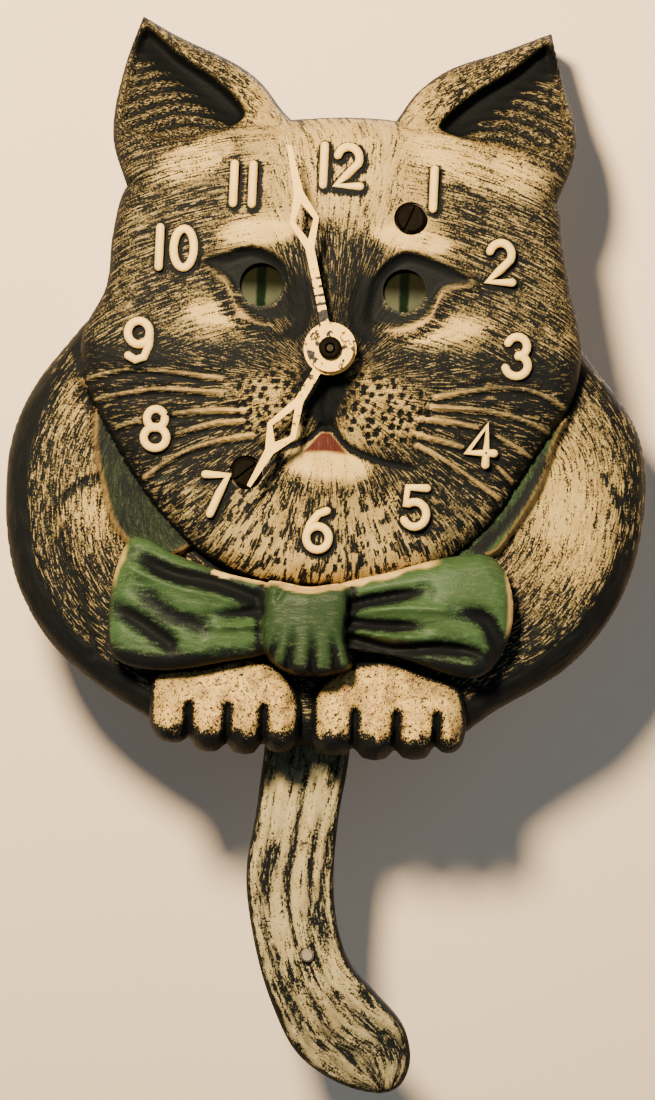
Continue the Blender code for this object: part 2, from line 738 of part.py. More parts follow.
def train_pair(name, at, wheel_loops, wheel_span, pinion_loop, pinion_span, front=24.3, pivot=PIVOT):
    """An arbor with its pinion cut on it, and the wheel that is pressed on the arbor."""
    arbor = turned(name + "_arbor", stack((pivot, front, FRONT_PLATE[0] - GAP),
                                          (ARBOR, FRONT_PLATE[0] - GAP, BACK_PLATE[1] + GAP),
                                          (PIVOT, BACK_PLATE[1] + GAP, 7.7)), at, 12)
    fuse(arbor, plate(name + "_pinion", [pinion_loop], *pinion_span, at))
    paint(arbor, "steel")
    wheel = plate(name + "_wheel", [*wheel_loops, circle(0, 0, WHEEL_BORE, 12)], *wheel_span, at)
    paint(wheel, "brass")


def crossings(hub, rim, arms):
    """Windows between the arms of a wheel."""
    windows = []
    arm = 1.2
    for i in range(arms):
        middle = 360.0 * (i + 0.5) / arms
        half_out = 180.0 / arms - math.degrees(arm / rim)
        half_in = 180.0 / arms - math.degrees(arm / hub)
        windows.append(arc(0, 0, rim, middle - half_out, middle + half_out, 5)
                       + arc(0, 0, hub, middle + half_in, middle - half_in, 2))
    return windows


def going_train():
    train_pair("centre", CENTRE_AT,
               [gear(CENTRE_TEETH, CENTRE_MODULE, THIRD_ANGLE + math.pi / CENTRE_TEETH),
                *crossings(4.0, 12.0, 4)], CENTRE_WHEEL_LAYER,
               gear(CENTRE_PINION, GREAT_MODULE, GREAT_ANGLE), CENTRE_PINION_LAYER, 42.7, 0.6)
    train_pair("third", THIRD_AT,
               [gear(THIRD_TEETH, THIRD_MODULE, ESCAPE_ANGLE + math.pi / THIRD_TEETH)],
               THIRD_WHEEL_LAYER,
               gear(TRAIN_PINION, CENTRE_MODULE, THIRD_ANGLE + math.pi), THIRD_PINION_LAYER)
    train_pair("escape", ESCAPE_AT, [saw_wheel(ESCAPE_TEETH, ESCAPE_RADIUS, 7.1)],
               ESCAPE_WHEEL_LAYER,
               gear(TRAIN_PINION, THIRD_MODULE, ESCAPE_ANGLE + math.pi), ESCAPE_PINION_LAYER)


# ---------------------------------------------------------------- motion work and hands

def motion_work():
    cannon = tube("cannon_pinion", [(1.4, 42.0), (1.4, 24.4), (0.95, 24.4), (0.95, 42.0)])
    ring = plate("cannon_leaves", [gear(CANNON_TEETH, CANNON_MODULE, MINUTE_ANGLE),
                                   circle(0, 0, 1.2)], *MINUTE_WHEEL_LAYER)
    fuse(cannon, ring)
    paint(cannon, "steel")

    wheel = plate("minute_wheel",
                  [gear(MINUTE_TEETH, CANNON_MODULE, MINUTE_ANGLE + math.pi + math.pi / MINUTE_TEETH),
                   circle(0, 0, 1.0, 12)], *MINUTE_WHEEL_LAYER, MINUTE_AT)
    leaves = plate("minute_leaves", [gear(MINUTE_PINION, HOUR_MODULE, MINUTE_ANGLE + math.pi),
                                     circle(0, 0, 1.0, 12)], *MINUTE_PINION_LAYER, MINUTE_AT)
    fuse(wheel, leaves)
    paint(wheel, "brass")
    stud = turned("minute_wheel_post", stack((1.2, 27.2, 26.7), (0.7, 26.7, 22.7)), MINUTE_AT, 12)
    paint(stud, "steel")

    pipe = tube("hour_wheel", [(2.5, 40.5), (2.5, 25.6), (1.75, 25.6), (1.75, 40.5)], steps=16)
    disc = plate("hour_disc", [gear(HOUR_TEETH, HOUR_MODULE, MINUTE_ANGLE + math.pi / HOUR_TEETH),
                               circle(0, 0, 2.1, 12)], *HOUR_WHEEL_LAYER)
    fuse(pipe, disc)
    paint(pipe, "brass")


def loop_hand(name, length, loop_start, loop_wide, loop_end, half_width, disc, bore, angle, depth):
    """A flat hand: disc, stem, pierced four-cornered loop and pointed tip, drawn along +X."""
    rim = 0.95
    tip_half = 0.35
    stem = math.degrees(math.asin(0.75 / disc))
    outer = arc(0, 0, disc, stem, 360.0 - stem, 24)
    outer += [(loop_start, -0.75), (loop_wide, -half_width), (loop_end, -0.8), (length, -tip_half),
              (length, tip_half), (loop_end, 0.8), (loop_wide, half_width), (loop_start, 0.75)]
    window = [(loop_start + 1.6, 0.0), (loop_wide, half_width - rim), (loop_end - 1.9, 0.0),
              (loop_wide, rim - half_width)]
    loops = [turned_about(points, angle) for points in (outer, window)]
    piece = plate(name, [*loops, circle(0, 0, bore, 20)], depth, depth + HAND_THICKNESS)
    paint(piece, "cream")


def hands():
    loop_hand("minute_hand", MINUTE_HAND_LENGTH, 17.6, 22.6, 27.6, 2.6, 4.1, 1.75,
              MINUTE_HAND_ANGLE, MINUTE_HAND_DEPTH)
    loop_hand("hour_hand", HOUR_HAND_LENGTH, 10.4, 16.6, 20.8, 2.8, 4.6, 2.85,
              HOUR_HAND_ANGLE, HOUR_HAND_DEPTH)
    nut = tube("hand_nut", [(1.5, 43.2), (2.0, 42.9), (2.0, 42.3), (0.95, 42.3), (0.95, 43.2)],
               steps=16)
    paint(nut, "dark")


# ---------------------------------------------------------------- pendulum and eyes

def verge():
    """Verge arbor with the pallet anchor in the plane of the escape wheel."""
    arbor = turned("verge_arbor", stack((VERGE, 27.7, 4.6)), VERGE_AT, 12)
    paint(arbor, "steel")
    leg, reach = 6.4, -3.9
    outline = [(leg + 0.9, reach + 0.4), (leg + 0.5, 0.6), (3.0, 2.6), (-3.0, 2.6),
               (-leg - 0.5, 0.6), (-leg - 0.9, reach + 0.4), (-leg, reach), (-leg + 0.8, 0.0),
               (-2.6, 1.1), (-1.9, -1.6), (1.9, -1.6), (2.6, 1.1), (leg - 0.8, 0.0), (leg, reach)]
    anchor = plate("pallet_anchor", [outline, circle(0, 0, VERGE_BORE, 12)], *ANCHOR_LAYER, VERGE_AT)
    paint(anchor, "steel")


def crutch_and_rod():
    """The crutch ends in an eye, and the rod hooks through it and runs down to the tail."""
    depth, hook_radius = CRUTCH_DEPTH, 1.3
    eye_radius, eye_z = 1.9, 12.0
    top = [(x, depth, z) for x, z in arc(*VERGE_AT, 1.6, 250, -70, 12)]
    eye = [(x, depth, z) for x, z in arc(0, eye_z, eye_radius, 110, 430, 14)]
    crutch = wire("crutch", top[:-1] + eye[1:], ROD_RADIUS)
    paint(crutch, "steel")
    hook_z = eye_z - eye_radius
    hook = [(0.0, front, z) for front, z in arc(depth, hook_z, hook_radius, 20, 195, 7)]
    run = [(0.0, depth - hook_radius, -44.0), (0.0, ROD_DEPTH, -58.0)]
    ring = [(x, ROD_DEPTH, z) for x, z in arc(*TAIL_RIVET, 1.9, 110, 430, 14)]
    rod = wire("tail_rod", hook + run + ring, ROD_RADIUS)
    paint(rod, "steel")


TAIL_OUTLINE = [(-7.4, -62.5), (-8.9, -74), (-9.8, -84), (-11, -93), (-10.6, -100), (-8.2, -110.7),
                (-5.2, -119), (-0.6, -127.2), (6, -132), (13.5, -134.2), (18.6, -133), (20.6, -128),
                (19, -122), (13.5, -116), (8.6, -110.6), (6.1, -104), (5, -95.5), (5.4, -84),
                (6.8, -73), (6.6, -62.5), (-0.4, -59.5)]


def tail():
    bob = plate("tail", [TAIL_OUTLINE], TAIL_BACK, TAIL_BACK + TAIL_THICKNESS,
                curved=True, resolution=3)
    round_front(bob, 2.2)
    cut(bob, post("tail_bore", TAIL_RIVET, 1.1, -5.0, 20.0, 12))
    paint(bob, "painted")
    face = TAIL_BACK + TAIL_THICKNESS
    rivet = turned("tail_rivet", [(0.9, face + 0.9), (1.25, face + 0.6), (1.25, face + GAP),
                                  (0.75, face + GAP), (0.75, 1.0), (2.2, 1.0), (2.2, 0.5)],
                   TAIL_RIVET, 12)
    paint(rivet, "steel")


def eye_drive():
    """An arm on the verge arbor moves a slide bar that carries both eyes."""
    half_hub = 2.0
    outline = arc(0, 0, half_hub, -20, 200, 10) + [(-0.9, -EYE_ARM_LENGTH - 0.9),
                                                   (0.9, -EYE_ARM_LENGTH - 0.9)]
    arm = plate("eye_arm", [outline, circle(0, 0, VERGE_BORE, 12)], *EYE_ARM_LAYER, VERGE_AT)
    pin = post("eye_arm_pin", (VERGE_AT[0], EYE_Z), 0.6, 27.0, 29.0, 12)
    fuse(arm, pin)
    paint(arm, "brass")

    travel = 2.0
    slot_half = travel + 0.7 + GAP
    drive_slot = rounded_box(-0.95, 0.95, EYE_Z - 1.6, EYE_Z + 1.6, 0.9, 3)
    guides = [rounded_box(x - slot_half - 0.3, x + slot_half + 0.3, z - 1.05, z + 1.05, 1.0, 3)
              for x, z in GUIDE_POSTS.values()]
    edge = ([(-19.5, EYE_Z - 2.4), (19.5, EYE_Z - 2.4), (19.5, EYE_Z + 2.4), (9.2, EYE_Z + 2.4)]
            + [(8.6, 20.0), (-8.6, 20.0), (-9.2, EYE_Z + 2.4), (-19.5, EYE_Z + 2.4)])
    bar = plate("eye_carrier", [edge, drive_slot, *guides], *EYE_BAR_LAYER)
    paint(bar, "brass")
    for name, at in GUIDE_POSTS.items():
        guide = turned(name, stack((0.7, 29.1, 22.7)), at, 12)
        paint(guide, "steel")


def eyes():
    """Each eye is a shallow dome that always fills its hole."""
    for name, x in (("left_eye", -EYE_X), ("right_eye", EYE_X)):
        dome = blob(name, (x, 28.8, EYE_Z), (EYE_WIDTH / 2.0, 1.8, EYE_HEIGHT / 2.0), 24, 12)
        cut(dome, block(name + "_back", x - 9, x + 9, EYE_Z - 9, EYE_Z + 9, 20.0, 28.8))
        smooth(dome)
        paint(dome, "eye")


# ---------------------------------------------------------------- winding key

def winding_key():
    """A hub on the winding arbor with two flat wings."""
    hub = turned("winding_key", [(2.4, 7.5), (2.9, 7.1), (2.9, 2.7), (2.2, 1.6)], GREAT_AT, 16)
    wings = plate("key_wings", [(
        arc(-4.9, 0, 2.9, 60, 300, 8) + arc(4.9, 0, 2.9, -120, 120, 8))],
        2.1, 3.4, GREAT_AT)
    combine(hub, "UNION", [wings], "MANIFOLD")
    combine(hub, "DIFFERENCE", [post("key_bore", GREAT_AT, 1.4, -3.0, 12.0)], "MANIFOLD")
    paint(hub, "steel")


case_shell()
hanger()
plates()
pillars()
movement_screws()
great_group()
going_train()
motion_work()
hands()
verge()
crutch_and_rod()
tail()
eye_drive()
eyes()
winding_key()
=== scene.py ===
"""Looks of the cat tail clock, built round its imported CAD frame.

Lengths are in millimetres and are turned into metres by world().  A place on the clock is x to the right
and z up from the axis of the hands, and depth forward from the wall.

The moulded case is one piece made of four reliefs: the head with its ears, the body, the bow and the paws.
Each relief is a grid of depths, cut to its outline and joined to the others.  Its paint is held per point:
the colour, how much dark stain and dark brush strokes lie over it, and which way the strokes run.
"""

import json
import math

import bpy
import numpy as np
from mathutils import Matrix, Vector
from mathutils.kdtree import KDTree

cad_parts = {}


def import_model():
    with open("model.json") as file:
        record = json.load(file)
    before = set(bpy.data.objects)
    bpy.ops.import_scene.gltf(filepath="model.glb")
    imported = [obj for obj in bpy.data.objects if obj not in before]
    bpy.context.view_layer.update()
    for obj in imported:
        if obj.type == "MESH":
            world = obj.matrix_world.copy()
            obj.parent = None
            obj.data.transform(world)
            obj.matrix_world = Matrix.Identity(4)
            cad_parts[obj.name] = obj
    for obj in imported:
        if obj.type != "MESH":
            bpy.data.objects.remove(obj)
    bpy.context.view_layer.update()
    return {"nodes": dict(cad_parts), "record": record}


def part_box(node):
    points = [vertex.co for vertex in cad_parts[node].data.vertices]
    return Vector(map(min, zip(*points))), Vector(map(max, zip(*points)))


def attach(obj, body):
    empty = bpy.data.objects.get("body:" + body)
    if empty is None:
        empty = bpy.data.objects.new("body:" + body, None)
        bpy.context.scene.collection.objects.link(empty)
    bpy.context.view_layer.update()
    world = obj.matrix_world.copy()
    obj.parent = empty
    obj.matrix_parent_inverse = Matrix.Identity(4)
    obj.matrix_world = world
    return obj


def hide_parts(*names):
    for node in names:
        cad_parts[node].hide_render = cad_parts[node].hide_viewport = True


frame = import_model()

# ---- driving sizes

MM = 0.001
HEAD_CELL = 0.36
BODY_CELL = 0.5
BOW_CELL = 0.36
TAIL_CELL = 0.3

BODY_DEPTH = 23.0
HEAD_EDGE_DEPTH = 29.6
FACE_CROWN = 3.9
FACE_REACH = 46.0
BOW_DEPTH = 34.0
BOW_BACK = 15
PAW_DEPTH = 28.0
SOCKET_DEPTH = 31.85
EAR_ROOT_DEPTH = 28.0
EAR_ROOT = 34.0
EAR_SLOPE = 0.45

CREAM = (0.84, 0.585, 0.19)
TAN = (0.50, 0.27, 0.11)
GREEN = (0.036, 0.076, 0.025)
DARK_GREEN = (0.016, 0.026, 0.010)
MOUTH_RED = (0.078, 0.019, 0.013)
INK = (0.007, 0.008, 0.008)
STAIN = (0.036, 0.040, 0.028)

EYES = ((-12.65, 11.3), (12.65, 11.3))
EYE_HOLE = 3.8


def middle(node):
    """The middle of a CAD node, in the row frame."""
    low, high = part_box(node)
    return (low + high) / 2


HUB = middle("hand_nut")


def world(x, depth, z):
    return Vector((HUB.x + x * MM, -depth * MM, HUB.z + z * MM))


# ---- lines and fields


def curve_through(points, steps=8):
    """A smooth open line through the points."""
    p = np.array(points, float)
    if len(p) == 2:
        return p
    before = 2 * p[0] - p[1]
    after = 2 * p[-1] - p[-2]
    p = np.vstack([before, p, after])
    line = []
    for a, b, c, d in zip(p, p[1:], p[2:], p[3:]):
        reach = np.linalg.norm(c - b)
        leave = (c - a) * reach / max(np.linalg.norm(c - b) + np.linalg.norm(b - a), 1e-9)
        arrive = (d - b) * reach / max(np.linalg.norm(c - b) + np.linalg.norm(d - c), 1e-9)
        for t in np.arange(steps) / steps:
            line.append((2 * t**3 - 3 * t**2 + 1) * b + (t**3 - 2 * t**2 + t) * leave
                        + (3 * t**2 - 2 * t**3) * c + (t**3 - t**2) * arrive)
    line.append(p[-2])
    return np.array(line)


def outline(points, corners=(), steps=8):
    """A closed smooth outline through the points, sharp at the numbered corners."""
    if not corners:
        wrapped = list(points[-2:]) + list(points) + list(points[:2])
        return curve_through(wrapped, steps)[2 * steps:-2 * steps]
    loop = []
    for i, start in enumerate(corners):
        end = corners[(i + 1) % len(corners)]
        count = (end - start) % len(points) or len(points)
        stretch = [points[(start + k) % len(points)] for k in range(count + 1)]
        loop.extend(curve_through(stretch, steps)[:-1] if len(stretch) > 2 else stretch[:-1])
    return np.array(loop)


def distance_to(x, z, line):
    """How far each point is from an open line."""
    best = np.full(x.shape, 1e9)
    for (ax, az), (bx, bz) in zip(line, line[1:]):
        dx, dz = bx - ax, bz - az
        along = unit(((x - ax) * dx + (z - az) * dz) / max(dx * dx + dz * dz, 1e-9))
        best = np.minimum(best, (x - ax - along * dx)**2 + (z - az - along * dz)**2)
    return np.sqrt(best)


def inside(x, z, loop):
    """How far each point lies inside a closed outline, negative outside."""
    closed = np.vstack([loop, loop[:1]])
    crossings = np.zeros(x.shape, int)
    for (ax, az), (bx, bz) in zip(closed, closed[1:]):
        if az != bz:
            crossings += ((az > z) != (bz > z)) & (x < ax + (z - az) * (bx - ax) / (bz - az))
    return distance_to(x, z, closed) * np.where(crossings % 2 == 1, 1, -1)


def coarse(field, x, z, every=3):
    """field(x, z) worked out on every few grid points and blended between them."""
    rows = np.unique(np.append(np.arange(0, x.shape[0], every), x.shape[0] - 1))
    cols = np.unique(np.append(np.arange(0, x.shape[1], every), x.shape[1] - 1))
    some = field(x[np.ix_(rows, cols)], z[np.ix_(rows, cols)])
    across = np.array([np.interp(np.arange(x.shape[1]), cols, row) for row in some])
    return np.array([np.interp(np.arange(x.shape[0]), rows, col) for col in across.T]).T


def within(x, z, loop, every=3):
    """inside(x, z, loop), worked out on every few grid points."""
    return coarse(lambda a, b: inside(a, b, loop), x, z, every)


def step(value, low, high):
    """0 below low, 1 above high, smooth between them."""
    t = unit((value - low) / (high - low))
    return t * t * (3 - 2 * t)


def bell(value, width):
    """1 where value is 0, falling softly to 0 on both sides."""
    return np.exp(-(value / width)**2)


def oval(x, z, centre_x, centre_z, radius_x, radius_z, turn):
    """The place in an oval's own axes, tilted by turn degrees, in its radii."""
    a = math.radians(turn)
    u = (x - centre_x) * math.cos(a) + (z - centre_z) * math.sin(a)
    v = (z - centre_z) * math.cos(a) - (x - centre_x) * math.sin(a)
    return u / radius_x, v / radius_z


def mound(x, z, centre_x, centre_z, radius_x, radius_z, turn=0):
    """A soft round bump, 1 at its middle."""
    u, v = oval(x, z, centre_x, centre_z, radius_x, radius_z, turn)
    return np.exp(-u**2 - v**2)


def pair(x, z, height, centre_x, centre_z, radius_x, radius_z, turn=0):
    """Two mounds of that height, the same on both sides of the middle."""
    left = height * mound(x, z, -centre_x, centre_z, radius_x, radius_z, turn)
    return left + height * mound(x, z, centre_x, centre_z, radius_x, radius_z, -turn)


def patch(x, z, centre_x, centre_z, radius_x, radius_z, turn=0):
    """A flat-topped oval, 1 inside and 0 outside."""
    return 1 - step(np.hypot(*oval(x, z, centre_x, centre_z, radius_x, radius_z, turn)), 0.65, 1.35)


def ridge(x, z, line, width):
    """A soft round line, 1 along its middle."""
    return bell(distance_to(x, z, curve_through(line)), width)


def scatter(i, j, seed):
    """A repeatable number from 0 to 1 for each pair of whole numbers."""
    n = np.sin(i * 127.1 + j * 311.7 + seed * 74.7) * 43758.5453
    return n - np.floor(n)


def mottle(x, z, size, seed):
    """Smooth blotches of about the given size, from 0 to 1."""
    u, v = x / size, z / size
    i, j = np.floor(u), np.floor(v)
    a, b = step(u - i, 0, 1), step(v - j, 0, 1)
    low = scatter(i, j, seed) * (1 - a) + scatter(i + 1, j, seed) * a
    high = scatter(i, j + 1, seed) * (1 - a) + scatter(i + 1, j + 1, seed) * a
    return low * (1 - b) + high * b


def pits(x, z, spacing, radius, seed):
    """Small round pits on a loose hexagonal grid, 1 at the middle of each."""
    best = np.zeros(x.shape)
    row = np.round(z / (spacing * 0.87))
    for dj in (-1, 0, 1):
        j = row + dj
        shift = (j % 2) * 0.5
        i0 = np.round(x / spacing - shift)
        for di in (-1, 0, 1):
            i = i0 + di
            px = (i + shift + (scatter(i, j, seed) - 0.5) * 0.6) * spacing
            pz = (j + (scatter(i, j, seed + 1) - 0.5) * 0.6) * spacing * 0.87
            size = radius * (0.6 + 0.8 * scatter(i, j, seed + 2))
            best = np.maximum(best, np.exp(-((x - px)**2 + (z - pz)**2) / size**2))
    return best


def rounded_edge(margin, radius):
    """How far a face drops near its outline, for a round edge of that radius."""
    near = np.clip(radius - margin, 0, radius)
    return radius - np.sqrt(radius**2 - near**2)


def plain(x, colour):
    """One colour at every point."""
    return np.ones(x.shape + (3,)) * np.array(colour)


def course(x, across, along, layer):
    """Which way the strokes run: they are thin across and long along.  Each layer has its own."""
    return np.stack([across, along, x * 0 + layer], -1)


def unit(value):
    """value, held between 0 and 1."""
    return np.clip(value, 0, 1)


def tint(base, colour, share):
    """base repainted with colour where share is 1."""
    share = share[..., None]
    return base * (1 - share) + np.array(colour) * share


# ---- outlines

BODY = outline((
    (-36, 10), (-49.5, -2.4), (-56.2, -15), (-57.4, -29), (-54.6, -43.5), (-46.5, -55.7), (-31, -66.2),
    (-22, -70), (22, -69.5), (33, -62.6), (46, -53.8), (54.5, -41.8), (58, -27), (56.8, -12.8),
    (49.5, -1.8), (36, 10)))
HEAD = outline((
    (-37.6, 28.2), (-39.6, 20), (-40.4, 10), (-44.2, 1.5), (-43.6, -6), (-38.6, -16), (-30.7, -27.6),
    (-21.4, -36.4), (-10.5, -41), (2, -41.5), (13, -39.6), (22, -36.4), (30, -29), (38.5, -15),
    (43.6, -6), (44.7, 3), (42.3, 13), (40.4, 22), (39.2, 28.6), (31, 37), (20, 41.4), (9.9, 42.6),
    (0, 42.7), (-8.6, 41.9), (-20, 41), (-30, 36.5)))
LEFT_EAR = outline((
    (-37.6, 28.4), (-40.3, 35.8), (-40.7, 42), (-39.2, 52), (-36.8, 60.8), (-30.3, 57.2), (-20, 52.6),
    (-14.9, 49.1), (-10.3, 43.4), (-8.6, 41.6), (-12, 34), (-24, 27)), (0, 4, 9, 10, 11))
RIGHT_EAR = outline((
    (39.2, 28.6), (42.2, 37.2), (42.2, 43.8), (40.1, 50.8), (37.7, 61), (28.2, 56.7), (19.6, 53.2),
    (13.7, 48.4), (9.9, 42.4), (14, 34), (26, 27)), (0, 4, 8, 9, 10))
LEFT_HOLLOW = outline((
    (-38.8, 38), (-39.2, 46), (-36.6, 58.8), (-29, 53.4), (-21, 48), (-16.5, 42.4), (-20, 38.4),
    (-30, 36)))
RIGHT_HOLLOW = outline((
    (40.4, 38), (40.2, 46), (37.6, 59), (30, 53.2), (22, 47.4), (17, 41.2), (21, 39), (31, 37)))
LEFT_BOW = outline((
    (-4, -43.4), (-17.5, -39.7), (-25, -37.4), (-33, -34.2), (-35.8, -39), (-37, -47.5), (-36, -55.4),
    (-29, -57.6), (-18, -56), (-4, -51.5)))
RIGHT_BOW = outline((
    (0, -43), (14.1, -37.9), (22.8, -35.3), (29.8, -34.8), (33.4, -38.8), (34.4, -46.5), (31.8, -54),
    (27.2, -56.6), (14.7, -53.4), (0, -50.8)))
BOW_KNOT = outline((
    (-9.6, -42.2), (-8.6, -40.9), (-2, -41.7), (4.6, -41.0), (5.6, -44), (5.2, -50), (6.4, -55.6),
    (2, -57.4), (-4, -57.4), (-8.6, -54.6), (-10, -49)))
LEFT_PAW = outline((
    (-29.5, -62), (-28.4, -58), (-20, -56.6), (-12, -54.4), (-5.5, -57), (-2.6, -62), (-2.8, -69),
    (-4.4, -71.2), (-7.4, -71.3), (-9, -70.2), (-10.6, -71.9), (-13.8, -71.9), (-15.4, -70.6),
    (-17.2, -71.8), (-20.4, -71.6), (-22.2, -69.8), (-24, -70.6), (-27.4, -70), (-29.2, -67)))
RIGHT_PAW = outline((
    (-0.4, -61), (4, -56.4), (12, -54.2), (20, -56.4), (25.8, -58.6), (27.3, -64), (26.8, -68.4),
    (25.4, -70), (23.4, -70.2), (21.9, -69.4), (20.2, -71.4), (16.6, -71.6), (14.8, -70.4),
    (13, -71.9), (9.3, -71.9), (7.4, -70.4), (5.6, -71.4), (1.8, -71.2), (0, -69)))
TOE_GAPS = (-22.2, -15.3, -8.9, 7.4, 14.8, 22.0)
TOES = (-25.9, -18.7, -12.1, -6.0, 3.4, 11.1, 18.4, 24.4)
TAIL_POINTS = (
    (-7.4, -62.5), (-8.9, -74), (-9.8, -84), (-11, -93), (-10.6, -100), (-8.2, -110.7), (-5.2, -119),
    (-0.6, -127.2), (6, -132), (13.5, -134.2), (18.6, -133), (20.6, -128), (19, -122), (13.5, -116),
    (8.6, -110.6), (6.1, -104), (5, -95.5), (5.4, -84), (6.8, -73), (6.6, -62.5), (-0.4, -59.5))
TAIL = outline(TAIL_POINTS)

LEFT_LIDS = outline((
    (-22.8, 14.8), (-18.6, 16.4), (-14.4, 17.6), (-9.4, 15.4), (-7.2, 10), (-7.2, 4.8), (-12.6, 4.4),
    (-16.4, 6.6), (-19, 11.6)))
RIGHT_LIDS = outline((
    (24.6, 13), (19.6, 15.8), (12.6, 17.8), (8, 14.4), (6.2, 9.6), (6.4, 5), (12.6, 4.4), (17, 6.6),
    (19.8, 11.8)))

LEFT_COLLAR = outline((
    (-45, -6), (-42, -10), (-41.4, -18), (-39.8, -25), (-36.8, -33), (-30, -38), (-22, -34),
    (-26, -20), (-36, -8)))
RIGHT_COLLAR = outline((
    (43, -9), (41, -14.5), (38.8, -22), (34.4, -30), (31, -34.5), (24, -36), (22, -32), (32, -16)))

# Whiskers, each from its root on the muzzle to its tip.
WHISKERS = (
    ((-18.9, -5.7), (-28.5, -4.8), (-34.8, -4.6), (-40.4, -5.8), (-45, -7.3)),
    ((-18.9, -8.2), (-30, -8), (-36.6, -9.1), (-42.6, -10.6)),
    ((-14, -11.2), (-20.3, -11.4), (-27.9, -12.4), (-37, -14.8)),
    ((-14.8, -13), (-20.3, -13.8), (-27.8, -16.2)),
    ((-13.1, -15.4), (-20.2, -17), (-25.7, -19.2), (-31.8, -23.6)),
    ((19, -7.3), (29.7, -5.1), (36.3, -5.4), (43.5, -8.7)),
    ((18.6, -9.1), (28.2, -9.3), (34.2, -10.4), (38.7, -12.2), (42.3, -14.4)),
    ((16.4, -11.3), (24.8, -11.9), (30.6, -13.8), (36.4, -17)),
    ((15.7, -14), (24.6, -16), (29.6, -18.4), (33.4, -21.6)),
    ((16.2, -15.9), (20.7, -18.1), (25.6, -21), (31, -24.6)),
)


# ---- solids


def add_object(name, data):
    piece = bpy.data.objects.new(name, data)
    bpy.context.scene.collection.objects.link(piece)
    return piece


def mesh_from(name, vertices, faces):
    """A mesh from points in the clock's millimetres (x, depth, z)."""
    mesh = bpy.data.meshes.new(name)
    mesh.from_pydata([world(*v) for v in vertices], [], faces)
    mesh.update()
    return mesh


def prism(name, loop, back, front):
    """A straight block with the given outline, between two depths."""
    if area(loop) < 0:
        loop = loop[::-1]
    count = len(loop)
    vertices = [(x, front, z) for x, z in loop] + [(x, back, z) for x, z in loop]
    faces = [tuple(range(count)), tuple(reversed(range(count, 2 * count)))]
    for i in range(count):
        j = (i + 1) % count
        faces.append((i, count + i, count + j, j))
    return add_object(name, mesh_from(name, vertices, faces))


def area(loop):
    """Twice the outline's area, positive where it runs anticlockwise from in front."""
    x, z = np.asarray(loop, float).T
    return float(np.sum(x * np.roll(z, -1) - np.roll(x, -1) * z))


def rod(name, x, z, radius, back, front, sides=64):
    turns = np.linspace(0, 2 * math.pi, sides, endpoint=False)
    loop = np.stack([x + radius * np.cos(turns), z + radius * np.sin(turns)], 1)
    return prism(name, loop, back, front)


def box(name, x0, x1, z0, z1, back, front):
    return prism(name, np.array([(x0, z0), (x1, z0), (x1, z1), (x0, z1)], float), back, front)


def combine(piece, other, operation):
    """Joins, cuts or trims piece with other, and removes other."""
    change = piece.modifiers.new("combine", "BOOLEAN")
    change.object = other
    change.operation = operation
    change.solver = "MANIFOLD"
    change.material_mode = "TRANSFER"
    graph = bpy.context.evaluated_depsgraph_get()
    piece_mesh = bpy.data.meshes.new_from_object(piece.evaluated_get(graph))
    piece.modifiers.clear()
    old = piece.data
    piece.data = piece_mesh
    bpy.data.meshes.remove(old)
    spent = other.data
    bpy.data.objects.remove(other)
    bpy.data.meshes.remove(spent)
    return piece


# The looks of a relief are its front, its sides and its bare back, which is the last face of its block.
BARE_BACK = 2

# What is held at each point of a relief, and for each kind its width and Blender's name for its values.
PAINT_LAYERS = {"paint": "FLOAT_COLOR", "strokes": "FLOAT_VECTOR", "arches": "FLOAT_VECTOR",
                "arched": "FLOAT", "stain": "FLOAT", "ink": "FLOAT", "soft": "FLOAT", "sheen": "FLOAT",
                "painted": "FLOAT"}
FIELD_OF = {"FLOAT": (1, "value"), "FLOAT_VECTOR": (3, "vector"), "FLOAT_COLOR": (4, "color")}


